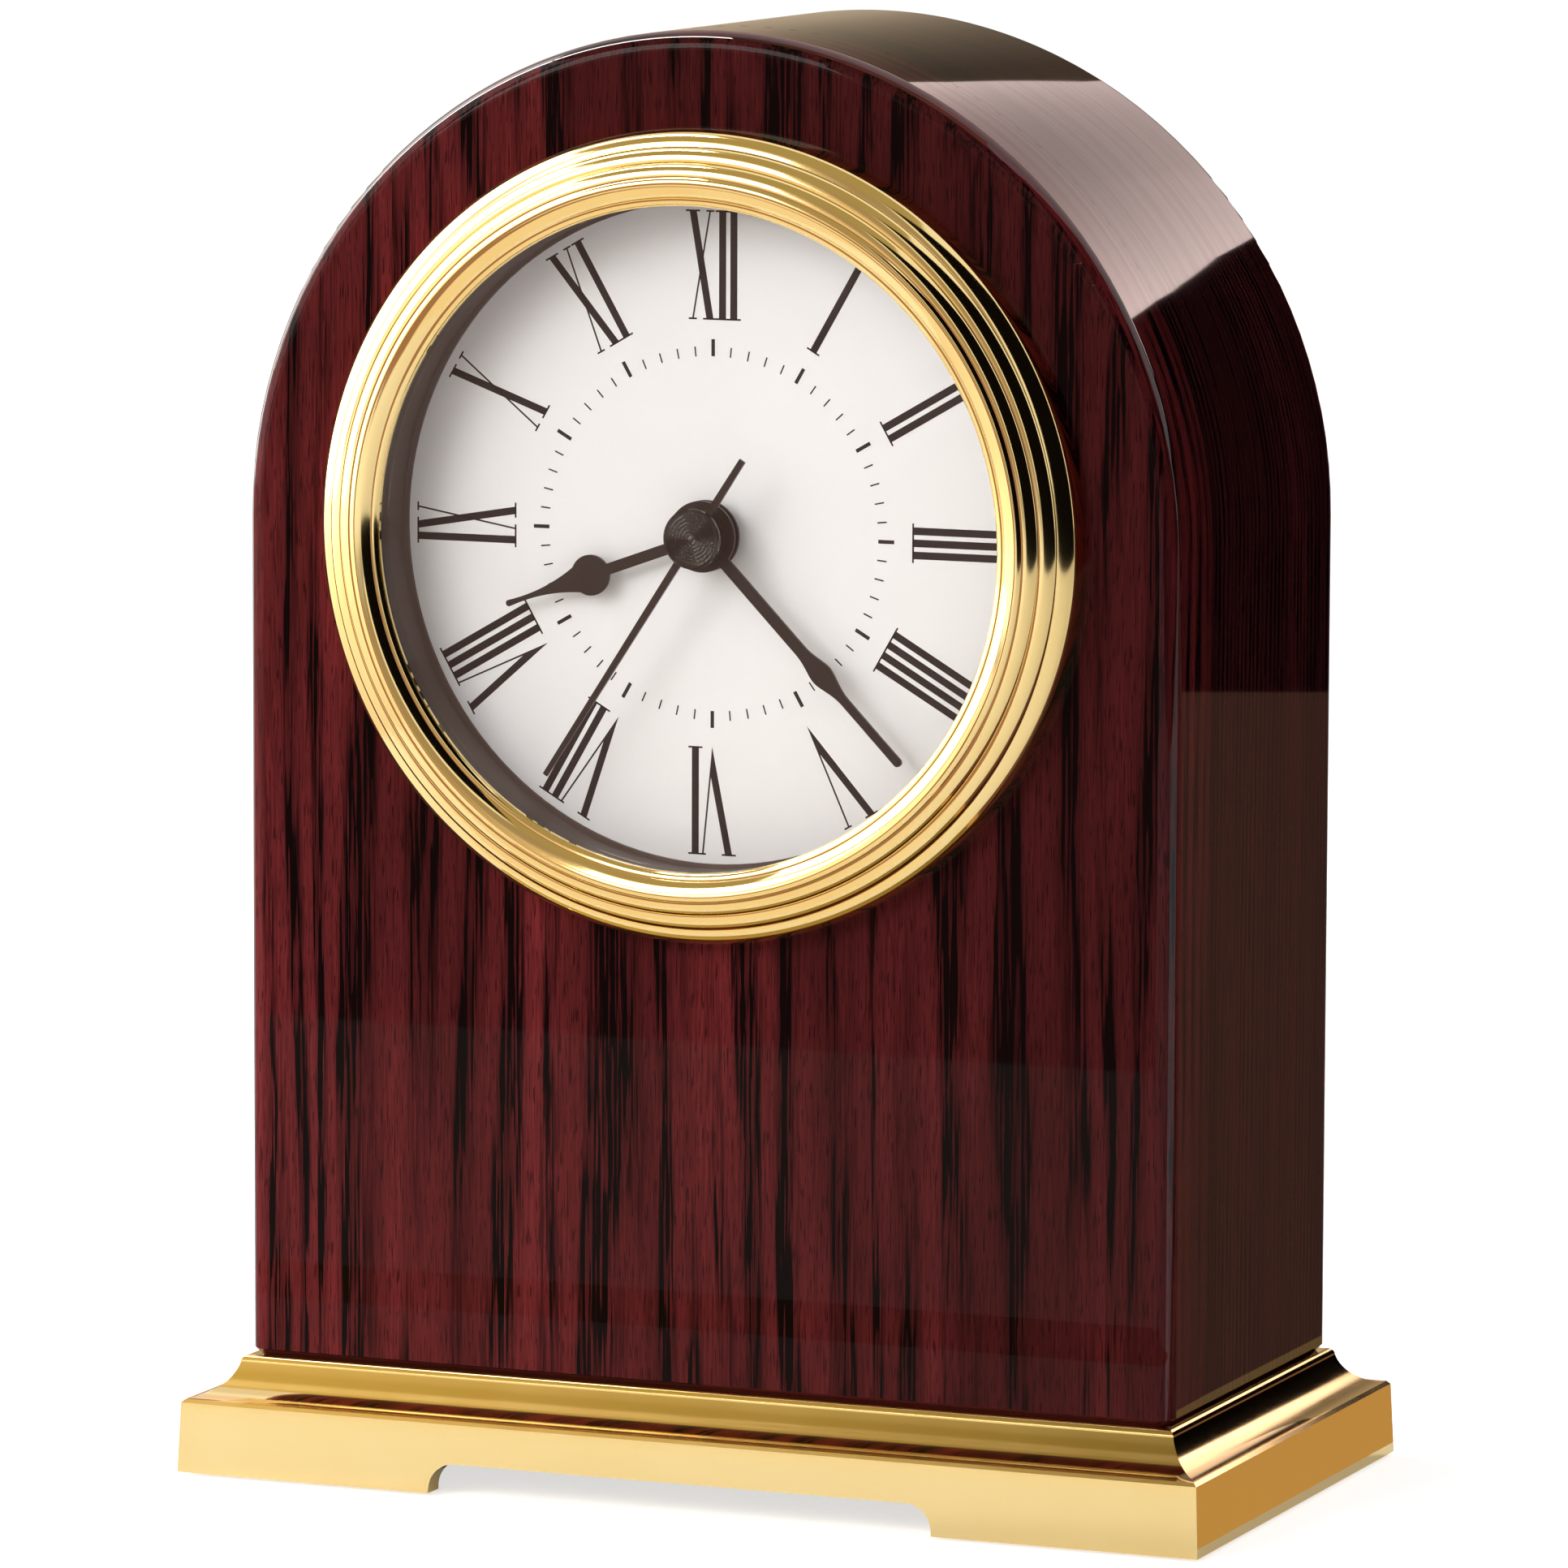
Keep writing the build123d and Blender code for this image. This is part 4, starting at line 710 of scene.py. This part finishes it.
# Where the photograph's brass and lacquer show a dim room: each card's corners, colour and strength.
# A strength in brackets changes along an axis: the axis, where it starts and ends, and the strength at each end.
CARDS = {
    # The floor ahead of the clock and to its right
    "front_near_card": (lying(CARD_LIFT, (-0.12, NEAR), (-0.22, STEP), (0.0, STEP), (0.05, NEAR)), "FFF2DE", 1.0),
    "front_far_card": (lying(CARD_LIFT, (-0.22, STEP), (-2.6, FAR), (-1.2, FAR), (0.0, STEP)), "A88474", 1.0),
    # Beside the plinth on the right, a dim gold card: the painted shadow of the clock on the floor, with a painted
    # reflection of the brass in it
    "side_near_card": (
        lying(CARD_LIFT, (0.0645, -0.06), (0.083, -0.06), (0.083, 0.14), (0.0645, 0.14)), "C09A60", 1.0
    ),
    "side_far_card": (
        lying(CARD_LIFT, (0.083, -0.06), (1.18, 0.38), (0.215, 0.78), (0.083, 0.14)), "6E4D40", 1.0
    ),
    # A narrow flag over the front cove keeps the softbox and the strip lamps out of it
    "cove_flag": (
        lying(FLAG_HEIGHT, (-0.08, -0.05), (0.0655, -0.05), (0.0655, -0.0278), (-0.08, -0.0278)),
        "FFE08C",
        (X_AXIS, -0.06, 0.066, 0.62, 0.2),
    ),
    # A dark card under the plinth: the painted shadow of the floor beneath the clock, for the brass and lacquer to
    # mirror
    "under_plinth_card": (
        lying(CARD_LIFT, (-0.055, -0.027), (0.055, -0.027), (0.055, 0.027), (-0.055, 0.027)), "20160E", 1.0
    ),
    # Black to the right, for the side and the bezel's right
    "right_card": (standing((0.25, -1.0), (1.1, 0.2), 0.0, 1.3), "0C0A0A", 1.0),
    "right_rear_card": (standing((0.215, 0.78), (1.18, 0.38), 0.0, 0.29), "040303", 1.0),
    # Behind the clock, in the arch's mirror: a mauve cloth that hangs askew, an olive wall, black to the right
    "rear_cloth": (
        [
            (-1.7, REAR_WALL, 0.84),
            (-0.25, REAR_WALL, 0.865),
            (0.49, REAR_WALL, 0.718),
            (1.0, REAR_WALL, 0.5),
            (1.0, REAR_WALL, CEILING),
            (-1.7, REAR_WALL, CEILING),
        ],
        "FFE3DC",
        (Z_AXIS, 0.68, 0.95, 3.8, 1.0),
    ),
    "rear_wall": (
        standing((-1.7, REAR_WALL + LAYER), (-0.1, REAR_WALL + LAYER), 0.0, 0.95),
        "FFE4C0",
        (Z_AXIS, 0.35, 0.83, 0.55, 0.13),
    ),
    "rear_black_card": (
        standing((-0.1, REAR_WALL + 2 * LAYER), (1.6, REAR_WALL + 2 * LAYER), 0.0, 0.95), "040303", 1.0
    ),
    # Ahead of the clock to the left: a wall and a floor that brighten to the left, and a dim ceiling
    "front_wall": (
        standing((LEFT_WALL, FRONT_WALL), (0.3, FRONT_WALL), 0.05, CEILING),
        "FFEACC",
        (X_AXIS, LEFT_WALL, -0.3, 2.4, 0.4),
    ),
    "left_floor_card": (
        lying(
            CARD_LIFT, (-0.22, STEP), (-1.284, FRONT_WALL), (LEFT_WALL, FRONT_WALL), (LEFT_WALL, 1.2), (-0.22, 1.2)
        ),
        "FFF6EA",
        (X_AXIS, -1.0, -0.22, 2.4, 1.0),
    ),
    "front_ceiling": (
        lying(
            CEILING, (LEFT_WALL, FRONT_WALL), (0.9, FRONT_WALL), (0.9, 0.1), (-0.7, 0.1), (-0.7, -0.5),
            (LEFT_WALL, -0.5),
        ),
        "AEA27C",
        1.0,
    ),
    # Round to the left, a bright window under a pale skylight
    "left_window": (standing((LEFT_WALL, -1.6), (LEFT_WALL, 1.2), 0.0, CEILING), "FFF6F0", 5.0),
    "left_skylight": (
        lying(CEILING - LAYER, (LEFT_WALL, -0.5), (-0.7, -0.5), (-0.7, 1.2), (LEFT_WALL, 1.2)), "FFF6F0", 0.85
    ),
    # Strip lamps ahead of both draw the thin white line along the arch's front edge
    "left_strip": (standing((STRIP_LEFT, 0.05), (STRIP_LEFT, 0.3), 0.3, 2.15), "FFF6F0", 30.0),
    "overhead_strip": (
        lying(CEILING - 3 * LAYER, (STRIP_LEFT, 0.05), (-0.7, -0.45), (-0.7, -0.2), (STRIP_LEFT, 0.3)),
        "FFF6F0",
        30.0,
    ),
}


def stage_plane(name, corners, material):
    """A flat studio piece from its corners: floor or card."""
    maker = bmesh.new()
    maker.faces.new([maker.verts.new(corner) for corner in corners])
    piece = linked_object(name, maker, material)
    return piece


def pale_floor():
    """White paper sweep: it keeps the clock's shadow, and shows white where the camera and the metal see it."""
    material, tree = empty_material("white_paper_sweep")
    paper = add(tree, "BsdfDiffuse", {"Color": colour("F2F1F0")})
    ray = add(tree, "LightPath").outputs
    shown = add(tree, "Math", {"operation": "MAXIMUM"}, {0: ray["Is Camera Ray"], 1: ray["Is Transmission Ray"]})
    mirrored = add(tree, "Math", {"operation": "MULTIPLY", 1: FLOOR_MIRRORED}, {0: ray["Is Glossy Ray"]})
    share = {"operation": "MULTIPLY_ADD", 1: FLOOR_SHOWN}
    lift = add(tree, "Math", share, {0: shown.outputs[0], 2: mirrored.outputs[0]})
    glow = add(tree, "Emission", {}, {"Strength": lift.outputs[0]})
    both = add(tree, "AddShader", {}, {0: paper.outputs[0], 1: glow.outputs[0]})
    add(tree, "OutputMaterial", {}, {"Surface": both.outputs[0]})
    return material


def studio_card(name, corners, shade, strength):
    """A card for gloss and glass alone: the camera, the shadows and the soft light pass it.

    Cloth lit from one end changes along an axis, and paper is even.
    """
    graded = isinstance(strength, tuple)
    material, tree = empty_material(name + ("_cloth" if graded else "_paper"))
    glow = add(tree, "Emission", {"Color": colour(shade)})
    if graded:
        axis, start, end, first, last = strength
        split = add(tree, "SeparateXYZ", {}, {0: add(tree, "TexCoord").outputs["Object"]})
        ramp = {FROM_MIN: start, FROM_MAX: end, TO_MIN: first, TO_MAX: last}
        change = add(tree, "MapRange", ramp, {0: split.outputs[axis]})
        tree.links.new(change.outputs[0], glow.inputs["Strength"])
    else:
        glow.inputs["Strength"].default_value = strength
    add(tree, "OutputMaterial", {}, {"Surface": glow.outputs[0]})
    piece = stage_plane(name, corners, material)
    piece.visible_camera = False
    piece.visible_diffuse = False
    piece.visible_shadow = False


def softbox(name, place, width, height, strength, mirrored):
    """A square lamp with a white front cloth, aimed at the clock's middle."""
    lamp = bpy.data.lights.new(name, "AREA")
    lamp.shape = "RECTANGLE"
    lamp.size = width
    lamp.size_y = height
    lamp.energy = strength * math.pi * width * height
    holder = bpy.data.objects.new(name, lamp)
    holder.location = place
    holder.rotation_euler = (Vector(LAMP_AIM) - Vector(place)).to_track_quat("-Z", "Y").to_euler()
    holder.visible_glossy = mirrored
    scene.collection.objects.link(holder)


def light_room():
    """White all round for the camera, glass and gloss, and a low even light on the clock."""
    world = bpy.data.worlds.new("white_studio")
    scene.world = world
    world.use_nodes = True
    tree = world.node_tree
    tree.nodes.clear()
    ray = add(tree, "LightPath").outputs
    seen = add(tree, "Math", {"operation": "MAXIMUM"}, {0: ray["Is Camera Ray"], 1: ray["Is Transmission Ray"]})
    shown = add(tree, "Math", {"operation": "MAXIMUM"}, {0: seen.outputs[0], 1: ray["Is Glossy Ray"]})
    strength = add(tree, "MapRange", {TO_MIN: ROOM_LIGHT, TO_MAX: ROOM_WHITE}, {0: shown.outputs[0]})
    back = add(tree, "Background", {"Color": colour("FFFFFF")}, {"Strength": strength.outputs[0]})
    add(tree, "OutputWorld", {}, {"Surface": back.outputs[0]})


def place_camera():
    """The photograph's viewpoint: from the front right, a little above, through a long lens."""
    camera = bpy.data.cameras.new("camera")
    camera.lens = CAMERA_LENS
    camera.sensor_width = CAMERA_SENSOR
    camera.clip_end = CAMERA_SIGHT
    holder = bpy.data.objects.new("camera", camera)
    turn = (
        Matrix.Rotation(math.radians(CAMERA_AZIMUTH), 4, "Z")
        @ Matrix.Rotation(math.radians(90 - CAMERA_DIP), 4, "X")
        @ Matrix.Rotation(math.radians(CAMERA_ROLL), 4, "Z")
    )
    holder.matrix_world = Matrix.Translation(CAMERA_PLACE) @ turn
    scene.collection.objects.link(holder)
    scene.camera = holder


reach = FLOOR_REACH
floor_corners = lying(0, (-reach, -reach), (reach, -reach), (reach, reach), (-reach, reach))
stage_plane("floor", floor_corners, pale_floor())
light_room()
for name, (corners, shade, strength) in CARDS.items():
    studio_card(name, corners, shade, strength)
for name, (place, width, height, strength, mirrored) in LAMPS.items():
    softbox(name, place, width, height, strength, mirrored)
place_camera()
scene.view_settings.view_transform = "Standard"

bpy.context.view_layer.update()
